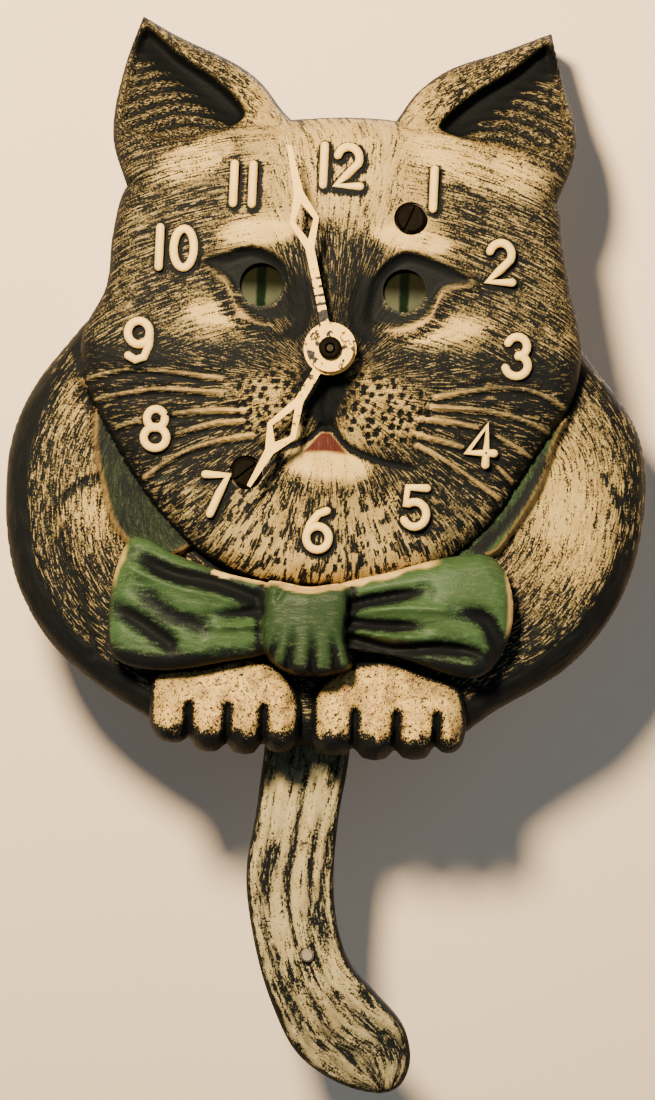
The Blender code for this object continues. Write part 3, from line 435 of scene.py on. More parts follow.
def relief(name, loops, cell, surface, back, front_look, side_look):
    """A closed moulding with a relief front, straight sides and a flat back.

    surface(x, z) gives the front's depth and its paint at each point, as a dictionary of arrays.
    The block is trimmed to the outlines in loops.
    """
    points = np.vstack(loops)
    low, high = points.min(0) - 1, points.max(0) + 1
    x, z = np.meshgrid(*[np.arange(low[i], high[i] + cell, cell) for i in range(2)])
    paint = surface(x, z)
    paint["painted"] = np.ones(x.shape)
    rows, cols = x.shape
    top = np.stack([x.ravel(), paint["depth"].ravel(), z.ravel()], 1)
    number = np.arange(rows * cols).reshape(rows, cols)
    rim = np.concatenate([number[0, :-1], number[:-1, -1], number[-1, :0:-1], number[:0:-1, 0]])
    bottom = top[rim].copy()
    bottom[:, 1] = back
    places = np.vstack([top, bottom])
    corners = [number[:-1, :-1], number[:-1, 1:], number[1:, 1:], number[1:, :-1]]
    quads = np.stack(corners, -1).reshape(-1, 4)
    foot = rows * cols + np.arange(len(rim))
    walls = np.stack([rim, foot, np.roll(foot, -1), np.roll(rim, -1)], 1)
    faces = quads.tolist() + walls.tolist() + [foot[::-1].tolist()]
    mesh = mesh_from(name, places.tolist(), faces)
    piece = add_object(name, mesh)
    for look in (front_look, side_look, RAW):
        mesh.materials.append(look)
    mesh.polygons[-1].material_index = BARE_BACK
    kept = np.concatenate([np.arange(rows * cols), rim])
    for layer, kind in PAINT_LAYERS.items():
        values = np.asarray(paint.get(layer, x * 0 if kind == "FLOAT" else paint["strokes"]), np.float32)
        values = values.reshape(rows * cols, -1)[kept]
        if kind == "FLOAT_COLOR":
            values = np.hstack([values, np.ones((len(values), 1), np.float32)])
        mesh.attributes.new(layer, kind, "POINT").data.foreach_set(FIELD_OF[kind][1], values.ravel())
    trim = None
    for i, loop in enumerate(loops):
        part = prism(f"{name}_trim_{i}", loop, back - 2, 60)
        trim = combine(trim, part, "UNION") if trim else part
    trim.data.materials.append(side_look)
    return mend_paint(combine(piece, trim, "INTERSECT"))


def point_values(mesh, name, kind):
    width, field = FIELD_OF[kind]
    values = np.zeros(len(mesh.vertices) * width, np.float32)
    mesh.attributes[name].data.foreach_get(field, values)
    return values.reshape(-1, width)


def mend_paint(piece):
    """Gives each point that a cutter made the paint of the painted point nearest to it from in front."""
    mesh = piece.data
    places = point_values(mesh, "position", "FLOAT_VECTOR") * (1, 0.2, 1)
    painted = point_values(mesh, "painted", "FLOAT")[:, 0] > 0.999
    tree = KDTree(int(painted.sum()))
    for i in np.flatnonzero(painted):
        tree.insert(places[i], int(i))
    tree.balance()
    bare = np.flatnonzero(~painted)
    nearest = np.array([tree.find(places[i])[1] for i in bare], int)
    for layer, kind in PAINT_LAYERS.items():
        values = point_values(mesh, layer, kind)
        values[bare] = values[nearest]
        mesh.attributes[layer].data.foreach_set(FIELD_OF[kind][1], values.ravel())
    return piece


def smooth(piece, sharp_over=38):
    piece.data.shade_smooth()
    piece.data.set_sharp_from_angle(angle=math.radians(sharp_over))
    return piece


# ---- node materials


class Look:
    """A Principled material and short ways to add nodes to it."""

    def __init__(self, name):
        self.material = bpy.data.materials.new(name)
        self.material.use_nodes = True
        self.tree = self.material.node_tree
        self.shader = self.tree.nodes["Principled BSDF"]

    def link(self, source, target):
        self.tree.links.new(source, target)

    def node(self, kind, **settings):
        """A new shader node of that kind, with its settings made."""
        node = self.tree.nodes.new("ShaderNode" + kind)
        for setting, value in settings.items():
            setattr(node, setting, value)
        return node

    def set(self, node, socket, value):
        """Puts a value, or the output of another node, in a socket."""
        if isinstance(value, bpy.types.NodeSocket):
            self.link(value, node.inputs[socket])
        else:
            node.inputs[socket].default_value = value

    def shade(self, **sockets):
        for socket, value in sockets.items():
            self.set(self.shader, socket.replace("_", " "), value)

    def attribute(self, name, output="Fac"):
        return self.node("Attribute", attribute_name=name).outputs[output]

    def position(self):
        """The place in the object's own space, in metres."""
        return self.node("TexCoord").outputs["Object"]

    def vector(self, operation, a, b, output="Vector"):
        node = self.node("VectorMath", operation=operation)
        self.set(node, 0, a)
        self.set(node, 1, b)
        return node.outputs[output]

    def scaled(self, vector, x, y, z):
        return self.vector("MULTIPLY", vector, (x, y, z))

    def noise(self, vector, scale, detail=3.0, roughness=0.6, distortion=0.0):
        node = self.node("TexNoise")
        sockets = {"Vector": vector, "Scale": scale, "Detail": detail, "Roughness": roughness,
                   "Distortion": distortion}
        for socket, value in sockets.items():
            self.set(node, socket, value)
        return node.outputs["Fac"]

    def math(self, operation, a, b=0.0, clamp=False):
        node = self.node("Math", operation=operation, use_clamp=clamp)
        self.set(node, 0, a)
        self.set(node, 1, b)
        return node.outputs["Value"]

    def plus(self, a, b):
        return self.math("ADD", a, b)

    def less(self, a, b, clamp=False):
        return self.math("SUBTRACT", a, b, clamp)

    def times(self, a, b, clamp=False):
        return self.math("MULTIPLY", a, b, clamp)

    def blend_of(self, a, share_a, b, share_b):
        """The sum of two fields, each times its share."""
        return self.plus(self.times(a, share_a), self.times(b, share_b))

    def blend(self, share, a, b):
        """The number a where share is 0, b where it is 1."""
        node = self.node("Mix", data_type="FLOAT")
        for socket, value in ((0, share), (2, a), (3, b)):
            self.set(node, socket, value)
        return node.outputs[0]

    def between(self, value, low, high):
        """0 where value is under low, 1 over high, smooth between."""
        node = self.node("MapRange", interpolation_type="SMOOTHSTEP")
        self.set(node, "Value", value)
        self.set(node, "From Min", low)
        self.set(node, "From Max", high)
        return node.outputs["Result"]

    def mix(self, share, a, b, blend="MIX"):
        node = self.node("Mix", data_type="RGBA", blend_type=blend)
        self.set(node, "Factor", share)
        for socket, value in ((6, a), (7, b)):
            if isinstance(value, tuple):
                value = (*value, 1.0)
            self.set(node, socket, value)
        return node.outputs[2]

    def bump(self, height, distance):
        node = self.node("Bump")
        self.set(node, "Distance", distance)
        self.set(node, "Strength", 1.0)
        self.set(node, "Height", height)
        self.link(node.outputs["Normal"], self.shader.inputs["Normal"])


# How many strokes fit in a metre of depth, down the straight sides.
DEPTH_STROKES = 260.0


def brushed_paint(name, gloss, darker=0.0):
    """Moulded composition painted in the point colours, stained dark and dry-brushed along the strokes."""
    look = Look(name)
    place = look.position()
    paint = look.attribute("paint", "Color")
    stain = look.attribute("stain")
    ink = look.attribute("ink")
    arched = look.attribute("arched")
    inward = look.scaled(place, 0.0, DEPTH_STROKES, 0.0)
    streaks, fine = [], []
    for layer in ("strokes", "arches"):
        strokes = look.vector("ADD", look.attribute(layer, "Vector"), inward)
        streaks.append(look.noise(strokes, 1.0, detail=4.0, roughness=0.62, distortion=0.25))
        fine.append(look.noise(look.scaled(strokes, 2.6, 2.6, 2.2), 1.0, detail=2.0))
    streaks = look.blend(arched, *streaks)
    fine = look.blend(arched, *fine)
    grain = look.noise(place, 3000.0, detail=2.0)
    blotch = look.noise(place, 260.0, detail=3.0)
    brush = look.blend_of(streaks, 0.6, fine, 0.4)
    worn = look.blend_of(brush, 0.66, grain, 0.34)
    edge = look.plus(look.times(ink, 0.42), 0.29 + darker)
    spread = look.plus(look.times(look.attribute("soft"), 0.2), 0.045)
    lines = look.between(look.less(edge, worn), look.times(spread, -1.0), spread)
    thin = look.blend_of(blotch, 0.4, look.between(worn, 0.4, 0.6), 0.4)
    wash = look.times(stain, look.plus(thin, 0.4), clamp=True)
    crests = look.blend_of(fine, 0.75, grain, 0.25)
    dry = look.times(look.between(crests, 0.54, 0.62), 0.42)
    covered = look.plus(look.attribute("soft"), look.between(ink, 0.7, 0.95))
    dry = look.times(dry, look.less(1.0, covered, clamp=True))
    mellow = look.mix(look.between(blotch, 0.35, 0.75), (1.0, 1.0, 1.0), (0.90, 0.84, 0.74))
    aged = look.mix(1.0, paint, mellow, "MULTIPLY")
    stained = look.mix(wash, aged, STAIN)
    dusty = look.mix(0.35, aged, (0.36, 0.33, 0.22))
    colour = look.mix(dry, look.mix(lines, stained, INK), dusty)
    sheen = look.attribute("sheen")
    rough = look.less(look.plus(look.times(grain, 0.18), gloss), look.times(sheen, 0.06))
    shine = look.plus(look.times(sheen, 0.11), 0.04)
    look.shade(Base_Color=colour, Roughness=rough, Specular_IOR_Level=shine)
    relief_height = look.blend_of(brush, 0.8, grain, 0.25)
    even = look.less(1.0, look.times(look.attribute("soft"), 0.8))
    look.bump(look.times(relief_height, even), 0.00042)
    return look.material


def raw_composition(name):
    """The bare brown moulding, seen inside the open back."""
    look = Look(name)
    place = look.position()
    grain = look.noise(place, 900.0, detail=4.0)
    cloud = look.noise(place, 90.0, detail=3.0)
    brown = look.mix(cloud, (0.050, 0.034, 0.022), (0.115, 0.080, 0.050))
    look.shade(Base_Color=look.mix(look.between(grain, 0.58, 0.75), brown, (0.17, 0.13, 0.09)),
               Roughness=look.plus(look.times(grain, 0.25), 0.6))
    look.bump(grain, 0.00025)
    return look.material


# The hands are chipped most near their middle, and fully from the first to the second distance.
CHIPS_NEAR = 0.003
CHIPS_FAR = 0.016
# The minute hand is bare just outside its disc, and worn in short bars from there to BARS_END.
DISC_EDGE = 0.0046
BARS_START = 0.0065
BARS_END = 0.0145
BAR_WAVE = 4200.0


def enamel(name, colour, chip_colour, chip_line, rough=0.38, knocked=None, barred=False):
    """Thick hand-brushed paint with a few chips showing what is under it.

    knocked is a point with more chips round it.  barred adds the minute hand's worn bars.
    """
    look = Look(name)
    place = look.position()
    brush = look.noise(place, 1500.0, detail=2.0)
    cloud = look.noise(place, 300.0, detail=3.0)
    flaws = look.noise(place, 700.0, detail=4.0, roughness=0.65)
    if knocked:
        away = look.vector("DISTANCE", place, knocked, "Value")
        flaws = look.plus(flaws, look.times(look.between(away, CHIPS_FAR, CHIPS_NEAR), 0.10))
    if barred:
        bars = look.between(look.math("SINE", look.times(away, BAR_WAVE)), 0.3, 0.8)
        bars = look.times(bars, look.between(away, BARS_START - 0.001, BARS_START))
        bars = look.times(bars, look.between(away, BARS_END + 0.001, BARS_END))
        foot = look.times(look.between(away, DISC_EDGE, DISC_EDGE + 0.0003),
                          look.between(away, BARS_START, BARS_START - 0.0005))
        flaws = look.plus(flaws, look.times(look.plus(bars, foot), 0.20))
    chips = look.between(flaws, chip_line, chip_line + 0.03)
    tone = look.mix(look.between(cloud, 0.3, 0.75), colour, tuple(c * 0.84 for c in colour))
    look.shade(Base_Color=look.mix(chips, tone, chip_colour),
               Roughness=look.plus(look.times(brush, 0.2), rough), Specular_IOR_Level=0.15)
    look.bump(look.less(brush, chips), 0.00012)
    return look.material


def metal(name, colour, dark, rough, grain=(900.0, 900.0, 900.0), tarnish=0.55):
    """Brushed or turned metal with tarnish in clouds."""
    look = Look(name)
    place = look.position()
    lines = look.noise(look.scaled(place, *grain), 1.0, detail=3.0)
    cloud = look.noise(place, 220.0, detail=4.0)
    dulled = look.between(cloud, tarnish, tarnish + 0.25)
    look.shade(Base_Color=look.mix(dulled, colour, dark), Metallic=1.0,
               Roughness=look.plus(look.times(lines, 0.22),
                                   look.plus(look.times(dulled, 0.2), rough)))
    look.bump(lines, 0.00003)
    return look.material


CASE_LOOKS = (brushed_paint("case_painted_front", 0.42), brushed_paint("case_painted_side", 0.50, 0.27))
RAW = raw_composition("case_bare_inside")


# ---- the head


def numeral_strokes(text):
    """The centre lines of a numeral 1 unit high, centred on the origin."""
    def arc(cx, cz, rx, rz, start, end, count=14):
        turns = np.radians(np.linspace(start, end, count))
        return [(cx + rx * math.cos(t), cz + rz * math.sin(t)) for t in turns]

    shapes = {
        "0": [arc(0, 0, 0.26, 0.5, 90, 450, 25)],
        "1": [[(0, 0.5), (0, -0.5)]],
        "2": [arc(0, 0.2, 0.28, 0.3, 165, -25, 12) + [(-0.02, -0.22), (-0.3, -0.5), (0.32, -0.5)]],
        "3": [arc(-0.02, 0.25, 0.25, 0.25, 160, -80, 12), arc(-0.02, -0.24, 0.29, 0.27, 80, -165, 14)],
        "4": [[(0.14, -0.5), (0.14, 0.5), (-0.34, -0.2), (0.34, -0.2)]],
        "5": [[(0.28, 0.5), (-0.2, 0.5), (-0.24, 0.08)] + arc(0.0, -0.18, 0.3, 0.32, 125, -150, 14)],
        "6": [[(0.2, 0.5), (0.0, 0.42), (-0.2, 0.15)] + arc(0, -0.2, 0.29, 0.3, 165, 525, 24)],
        "7": [[(-0.28, 0.5), (0.3, 0.5), (0.1, 0.05), (-0.12, -0.5)]],
        "8": [arc(0, 0.26, 0.23, 0.24, 0, 360, 22), arc(0, -0.23, 0.29, 0.27, 0, 360, 24)],
        "9": [[(-0.24, -0.4), (-0.06, -0.5), (0.16, -0.42), (0.28, -0.1)]
              + arc(0, 0.2, 0.28, 0.3, 0, 360, 24)],
    }
    lines = []
    pitch = 0.62 if text in ("10", "12") else 0.48
    for place, digit in enumerate(text):
        shift = (place - (len(text) - 1) / 2) * pitch
        for line in shapes[digit]:
            lines.append([(px + shift, pz) for px, pz in line])
    return lines


NUMERAL_HEIGHT = 6.9
NUMERAL_STROKE = 0.76
NUMERAL_LIFT = 1.0
NUMERALS = {"12": (-0.4, 32.7), "1": (17.0, 29.4), "2": (29.3, 17.0), "3": (33.1, 0.6), "4": (27.3, -15.3),
            "5": (16.2, -26.8), "6": (-0.7, -31.6), "7": (-19.0, -26.1), "8": (-30.1, -15.0),
            "9": (-33.8, 0.4), "10": (-28.7, 17.0), "11": (-16.6, 28.8)}


def numeral_lines():
    """Every stroke of the dial's numerals, as lines on the clock."""
    for text, (cx, cz) in NUMERALS.items():
        for line in numeral_strokes(text):
            yield text, np.array([(cx + px * NUMERAL_HEIGHT, cz + pz * NUMERAL_HEIGHT) for px, pz in line])


def ear_hollow(x, z, loop, rim_from, rim_to, ridge_x, ridge_z):
    """The sunk inside of an ear: how deep it is, how dark, and which way its curved ridges run."""
    margin = within(x, z, loop)
    from_rim = distance_to(x, z, [rim_from, rim_to])
    cleft = 1 - step(from_rim, 1.5, 7)
    sunk = step(margin, 0.0, 1.8) * (2.2 + 3.6 * cleft)
    reach = np.hypot((x - ridge_x) / 1.25, z - ridge_z) + 0.5 * (mottle(x, z, 3.0, 71) - 0.5)
    waves = np.sin(reach * 2 * math.pi / 2.3) * step(margin, 0.6, 2.2) * step(from_rim, 1.5, 5.5)
    tip = step(z, 48, 56)
    dark = 0.60 + 0.6 * cleft + 0.22 * tip - 0.34 * waves * (1 - 0.6 * tip)
    dark = step(margin, 0.0, 1.0) * np.clip(dark, 0, 1.1)
    turn = np.arctan2(x - ridge_x, z - ridge_z)
    return margin, sunk - 0.55 * waves * (1 - 0.5 * tip), dark, (reach / 0.55, turn * 7)


def bare_head(x, z, reach, head_in):
    """The head's main form, and how strongly the two muzzle pads swell."""
    face = HEAD_EDGE_DEPTH + FACE_CROWN * (1 - (reach / FACE_REACH)**2)
    ear = EAR_ROOT_DEPTH - (z - EAR_ROOT) * EAR_SLOPE
    ear_share = step(-head_in, -7, 3) * step(z, 28, 40)
    depth = face * (1 - ear_share) + ear * ear_share
    # Brows, nose bridge, the dips beside it, muzzle, chin, cheeks and jaw.
    depth += pair(x, z, 1.3, 14, 20.5, 9, 3.4, 12)
    depth += 1.5 * mound(x, z, 0, 8, 4.2, 11)
    depth += 0.9 * mound(x, z, 0, 27, 9, 9)
    depth -= mound(x, z, -7.4, 6, 3, 6) + mound(x, z, 7.2, 6, 3, 6)
    left_pad = mound(x, z, -9.2, -9.2, 7.2, 5.6, 8)
    right_pad = mound(x, z, 9.8, -9.8, 7.6, 6.0, -12)
    depth += 3.4 * left_pad + 3.6 * right_pad
    depth += 1.3 * mound(x, z, 1, -21.5, 11, 5.5)
    depth += pair(x, z, 0.9, 27, -6, 12, 10)
    depth += 0.8 * step(-z, 24, 40) * (1 - step(reach, 36, 42))
    return depth, np.maximum(left_pad, right_pad)


def tongue_tip(x, z):
    tip = step(-13.9 - z, 0, 0.7) * step(z + 18.2 + 0.09 * np.abs(x), 0, 0.8)
    return tip * (1 - step(np.abs(x) - (-z - 13.6) * 0.85, 0, 0.6))


def whisker_lines(x, z):
    """Where the whiskers stand proud, and the grooves under and over them."""
    whisker = np.zeros(x.shape)
    groove = np.zeros(x.shape)
    for line in WHISKERS:
        path = curve_through(line)
        whisker = np.maximum(whisker, bell(distance_to(x, z, path), 0.42))
        groove = np.maximum(groove, bell(distance_to(x, z, path - (0, 1.05)), 0.6))
        groove = np.maximum(groove, 0.8 * bell(distance_to(x, z, path + (0, 1.0)), 0.4))
    return whisker, groove


def numeral_shadow(x, z):
    """Dark round the foot of each numeral: the dark wash that gathers there, and a painted shadow cast down
    and to the right.
    """
    shadow = np.zeros(x.shape)
    for _, line in numeral_lines():
        gap = distance_to(x, z, line + (0.3, -0.4))
        shadow = np.maximum(shadow, 1 - step(gap, 0.9, 2.1))
    return shadow


# Where the fur is smooth and pale: place, radii and tilt of forehead, cheek, brow and chin patches.
PALE_PATCHES = ((-25.5, 33, 7.2, 3.4, 25), (25, 34.5, 11.5, 4.6, -14), (18, 4.4, 9.5, 2.3, 8),
                (-20.5, 5.6, 5.6, 2.2, -8), (-13.5, 20.4, 6.4, 1.7, 6), (13.5, 20.2, 6.4, 1.9, -8),
                (1.5, -20.2, 8.0, 2.4, 0))


def head_surface(x, z):
    """The face and ears: depth and paint."""
    aside = np.abs(x)
    head_in = within(x, z, HEAD)
    margin = np.maximum.reduce([head_in, within(x, z, LEFT_EAR), within(x, z, RIGHT_EAR)])
    reach = np.hypot(x, z)
    depth, pads = bare_head(x, z, reach, head_in)

    # Eyes, set in almond sockets under heavy lids.
    lid = np.maximum(*[within(x, z, lids, every=2) for lids in (LEFT_LIDS, RIGHT_LIDS)])
    upper = step(z, 9.5, 15)
    socket = step(lid, -0.3, 1.5)
    floor = SOCKET_DEPTH + 0.02 * (aside - EYES[1][0])
    depth = depth * (1 - socket) + floor * socket
    depth += bell(lid + 0.5, 0.45) * 0.85 * upper
    depth -= 0.35 * bell(lid + 2.1, 0.9) * (1 - upper)

    # The mouth: a slit down from the nose, the line of the lips and a red tip of tongue.
    slit = ridge(x, z, ((0.2, -2), (-0.2, -8), (0.2, -13.4)), 1.0)
    lip_right = ridge(x, z, ((0.9, -13.2), (3.3, -16.4), (9.5, -18.9), (15.2, -19.9)), 0.95)
    lip_left = ridge(x, z, ((-0.9, -13.4), (-3.2, -15.6), (-8, -17.6), (-11, -17.4)), 0.65)
    lips = np.maximum(lip_right, lip_left)
    tongue = tongue_tip(x, z)
    depth -= 1.6 * slit + 1.1 * lips

    # Ears.
    left = ear_hollow(x, z, LEFT_HOLLOW, (-37.5, 60), (-16, 42), -26, 29)
    right = ear_hollow(x, z, RIGHT_HOLLOW, (38.5, 60), (17, 41), 27, 31)
    ear_dark = np.maximum(left[2], right[2])
    in_ear = step(np.maximum(left[0], right[0]), 0, 1)
    depth -= left[1] * step(left[0], -0.2, 0.4) + right[1] * step(right[0], -0.2, 0.4)

    # Whiskers, and the pits they grow from.
    whisker, groove = whisker_lines(x, z)
    pad = unit(pads * 1.6)
    pit = pits(x, z, 1.7, 0.52, 3) * step(pad, 0.25, 0.6) * (1 - step(z, -3.2, -1))
    depth += 0.8 * whisker - 0.45 * groove * (1 - whisker) - 0.8 * pit

    # Fur: the strokes arch over the brow and the temples, and fan out from the nose below it.
    arch = np.hypot(x, z + 70)
    arch_turn = np.arctan2(x, z + 70)
    fan_reach = np.hypot(x, z + 6)
    fan_turn = np.arctan2(x, -z - 6)
    temple = step(aside, 9, 15) * step(z, -4, 2)
    fur = mottle(arch_turn * 14, arch, 0.62, 11) * temple
    fur += mottle(fan_reach * 0.22, np.abs(fan_turn) * 34, 1.0, 12) * (1 - temple)
    calm = np.maximum.reduce([patch(x, z, *place) for place in PALE_PATCHES])
    calm *= unit(0.5 + 1.1 * mottle(fan_turn * 30, fan_reach * 0.3, 1.0, 15))
    beard = step(-z, 21, 25) * (1 - step(head_in, 16, 20))
    depth += (0.20 + 0.3 * beard) * (fur - 0.5) * (1 - 0.8 * calm) * (1 - in_ear) * (1 - socket)
    notch = np.maximum(0, mottle(fan_turn * 40, x * 0, 1.0, 14) - 0.35)
    depth -= rounded_edge(margin, 4.6) + 0.9 * notch * (1 - step(head_in, 0.6, 2.4)) * step(-z, 12, 20)

    # Paint.
    ticks = step(mottle(fan_turn * 66, fan_reach * 0.62, 1.0, 61), 0.46, 0.66)
    below_mouth = np.hypot((x - 1.5) / 9.5, (z + 19.5) / 4.2)
    chin_ring = bell(below_mouth - 1.3, 0.32) * step(-z, 18, 21)
    tick_zone = np.maximum(beard, 0.5 * step(z, 22, 30) * (1 - step(aside, 8, 14))) * (1 - calm)
    # The brows and the forehead mound are made paler still: a painted highlight where they stand out, on
    # top of the pale patches.
    brow = mound(x, z, -13.5, 20.4, 7.0, 2.4, 6) + mound(x, z, 13.5, 20.4, 7.0, 2.4, -8)
    light = unit(calm + brow + 0.45 * mound(x, z, 1, 34, 9, 9))
    paint = plain(x, CREAM)
    paint = tint(paint, TAN, unit(whisker * 1.3 - 0.2) * 0.45)
    paint = tint(paint, TAN, bell(lid + 0.3, 0.5) * (1 - upper) * 0.7)
    paint = tint(paint, MOUTH_RED, tongue)
    cheek = step(aside, 5, 10) * step(-z, -2.5, 1.0) * (1 - step(-z, 20, 26)) * (1 - pad)
    side = step(reach, 22, 31) * step(aside, 13, 22)
    bridge = (1 - step(aside, 5, 10)) * step(z, -3, 2) * (1 - step(z, 16, 26))
    # Painted shade in the dips beside the nose bridge and round the eyes, used in both the ink and the
    # stain.
    corners = mound(x, z, -7.6, 8, 5.5, 8) + mound(x, z, 7.8, 8, 5.5, 8)
    corners += pair(x, z, 0.85, 13, 10, 10, 7.5)
    ink = 0.44 + 0.14 * side + 0.20 * cheek - 0.06 * beard + 0.24 * bridge
    ink += 0.06 * mound(x, z, -35, -16, 9, 14, -20)
    band = bell(z + 4 - 0.03 * aside, 2.8) * step(aside, 5, 11) * (1 - pad)
    ink += 0.20 * corners + 0.09 * band
    # The mouth's slit is inked dark; the two dark mounds below the hub are a painted shadow of the hub.
    ink += 0.8 * slit + 0.9 * mound(x, z, -0.6, -5.4, 3.9, 4.6) + 0.45 * mound(x, z, -1.2, -10, 3.0, 4.0)
    ink += 0.16 * chin_ring - 0.15 * light + 0.03 * pad
    lid_line = bell(lid - 0.7, 1.4) * upper
    # The socket is dark paint, painted darker still towards its top as a painted shadow under the upper
    # lid.
    socket_ink = socket * (0.84 + 0.36 * step(z, 8.5, 12.0))
    ink = np.maximum.reduce([ink, ear_dark, 1.15 * lid_line, socket_ink])
    # A thin painted highlight round the lower half of each eye hole's rim.
    for eye_x, eye_z in EYES:
        from_hole = np.hypot(x - eye_x, z - eye_z) - EYE_HOLE
        ink -= 0.45 * bell(from_hole - 0.3, 0.26) * (1 - step(z - eye_z, -1.5, 1.5))
    ink = np.maximum.reduce([ink, 1.2 * lips, 1.05 * groove * (1 - whisker), 1.1 * step(pit, 0.3, 0.65),
                             0.80 * ticks * np.maximum(tick_zone, chin_ring)])
    # Painted shade in the dip below each lower lid.
    ink += 0.24 * bell(lid + 1.8, 1.0) * (1 - upper)
    ink -= 0.7 * whisker + 0.7 * tongue
    outer = 1 - step(margin, 0.3, 2.2)
    ear_rim = step(z, 36, 44) * (1 - in_ear)
    ink += 0.07 * outer * (1 - ear_rim) + 0.9 * (1 - step(margin, 0.0, 0.6))
    # Painted shadow round the numerals, over the wash gathered at their feet.
    ink = np.maximum(ink, 0.98 * numeral_shadow(x, z))

    stain = 0.66 + 0.42 * cheek + 0.22 * side + 0.15 * band + 0.35 * bridge + 0.5 * corners
    stain -= 0.52 * light + 0.4 * whisker + 0.8 * tongue + 0.12 * pad - 0.06 * beard
    stain -= 0.15 * ear_rim
    lower_lid = bell(lid + 0.1, 0.26) * (1 - upper) * step(aside, 7, 11)
    stain = np.maximum(stain, socket * 1.5) * (1 - tongue) * (1 - 0.4 * lower_lid)
    ink -= 0.22 * lower_lid
    soft = 0.45 * socket + 0.8 * lid_line + 0.4 * mound(x, z, 0, -6, 4, 5) + 0.4 * lips
    arches = course(x, arch_turn * 10, arch / 0.74, 0)
    fan = np.stack([np.cos(fan_turn) * 42, np.sin(fan_turn) * 42, fan_reach / 6.0], -1)
    rim_flow = course(x, (0.77 * z - 0.64 * aside) / 0.8, (0.64 * z + 0.77 * aside) / 5, 50)
    hollow_flow = course(x, *[np.where(x < 0, left[3][i], right[3][i]) for i in range(2)], 90)
    on_rim = step(z, 33, 40) * step(-head_in, -4, 0) * step(aside, 9, 12)
    arched = temple * (1 - np.maximum(in_ear, on_rim))
    fan = np.where(on_rim[..., None] > 0.5, rim_flow, fan)
    fan = np.where(in_ear[..., None] > 0.5, hollow_flow, fan)
    return {"depth": depth, "paint": paint, "stain": np.clip(stain, 0, 1.6), "ink": np.clip(ink, 0, 1.3),
            "soft": unit(soft), "strokes": fan, "arches": arches, "arched": arched}


# ---- the body

LEFT_FOLD = ((-47.8, -31), (-46.7, -36), (-43, -43.6), (-39.5, -55.6))
LEFT_HAUNCH_LINE = ((-46.6, -28.5), (-44, -25.5), (-40, -23.6))
RIGHT_FOLD = ((45, -13), (48.5, -17.5), (52.6, -23.6), (54.6, -30), (54, -38), (50, -45))


def body_surface(x, z):
    """The haunches, back and collar: depth and paint."""
    margin = within(x, z, BODY)
    depth = BODY_DEPTH + 0.6 * mound(x, z, -42, -28, 8, 14) + 0.9 * mound(x, z, 44, -28, 9, 14)
    left_fold = ridge(x, z, LEFT_FOLD, 0.9)
    right_fold = ridge(x, z, RIGHT_FOLD, 1.5) * step(-z, 13, 22)
    depth -= 0.9 * left_fold + 0.8 * right_fold + 0.3 * ridge(x, z, LEFT_HAUNCH_LINE, 0.6)
    collar = np.zeros(x.shape)
    edge = np.zeros(x.shape)
    for loop in (LEFT_COLLAR, RIGHT_COLLAR):
        into = inside(x, z, loop)
        collar = np.maximum(collar, step(into, -0.6, 1.0))
        edge = np.maximum(edge, bell(into - 0.5, 0.5))
    depth += 3.0 * collar + 0.5 * edge
    along = np.arctan2(x, -z - 26)
    fur = mottle(along * 14, margin, 0.7, 21)
    hatch = mottle(x / 3.0 + z / 1.2, z / 5 - x / 2, 1.0, 22)
    lower = step(-z, 42, 50)
    depth += 0.50 * (fur - 0.5) * (1 - collar) + 0.12 * (hatch - 0.5) * lower
    depth -= rounded_edge(margin, 7.0)

    paint = plain(x, CREAM)
    paint = tint(paint, tuple(0.35 * g + 0.65 * d for g, d in zip(GREEN, DARK_GREEN)), collar * (x < 0))
    paint = tint(paint, GREEN, collar * (x > 0))
    paint = tint(paint, TAN, unit(edge * 1.3 - 0.3) * 0.55)
    calm = np.maximum.reduce([
        mound(x, z, -41.5, -29.5, 4.6, 7.5, 14),
        1.1 * mound(x, z, 44, -27, 8.6, 14.5, 12),
        0.6 * mound(x, z, -45.5, -12, 4, 8, -32)])
    ink = 0.55 + 0.07 * lower + 0.05 * (x < 0) - 0.15 * calm
    ink += 0.06 * step(-z, 30, 44) * (1 - calm)
    rim = 1 - step(margin, 1.6, 6.0)
    rim_side = np.where(x < 0, step(-z, 2, 18), step(-z, 28, 44))
    ink += (0.18 + 0.75 * rim_side) * rim
    ink = np.maximum(ink, 1.05 * left_fold * step(-z, 30, 38))
    ink = np.maximum(ink, 0.75 * right_fold)
    ink += 0.35 * ridge(x, z, LEFT_HAUNCH_LINE, 0.8)
    smudge = 0.3 * (mottle(x, z, 3.2, 23) - 0.5)
    ink = ink * (1 - collar) + collar * (np.where(x < 0, 0.66, 0.46) + smudge)
    ink += 0.6 * ridge(x, z, ((39, -18), (34, -27), (28, -34)), 0.9) * collar
    ink -= 0.3 * edge
    # Painted shadow of the head on the body, just outside the head's outline.
    head_gap = within(x, z, HEAD)
    ink += 0.5 * bell(np.maximum(-head_gap, 0), 1.3) * (1 - collar)
    stain = 0.86 + 0.2 * lower + 0.1 * rim - 0.36 * calm
    flow = course(x, along * 7.5, margin / 0.8, 90)
    return {"depth": depth, "paint": paint, "stain": unit(stain) * (1 - 0.8 * collar),
            "ink": np.clip(ink, 0, 1.3), "soft": 0.7 * collar, "strokes": flow}


# ---- the bow

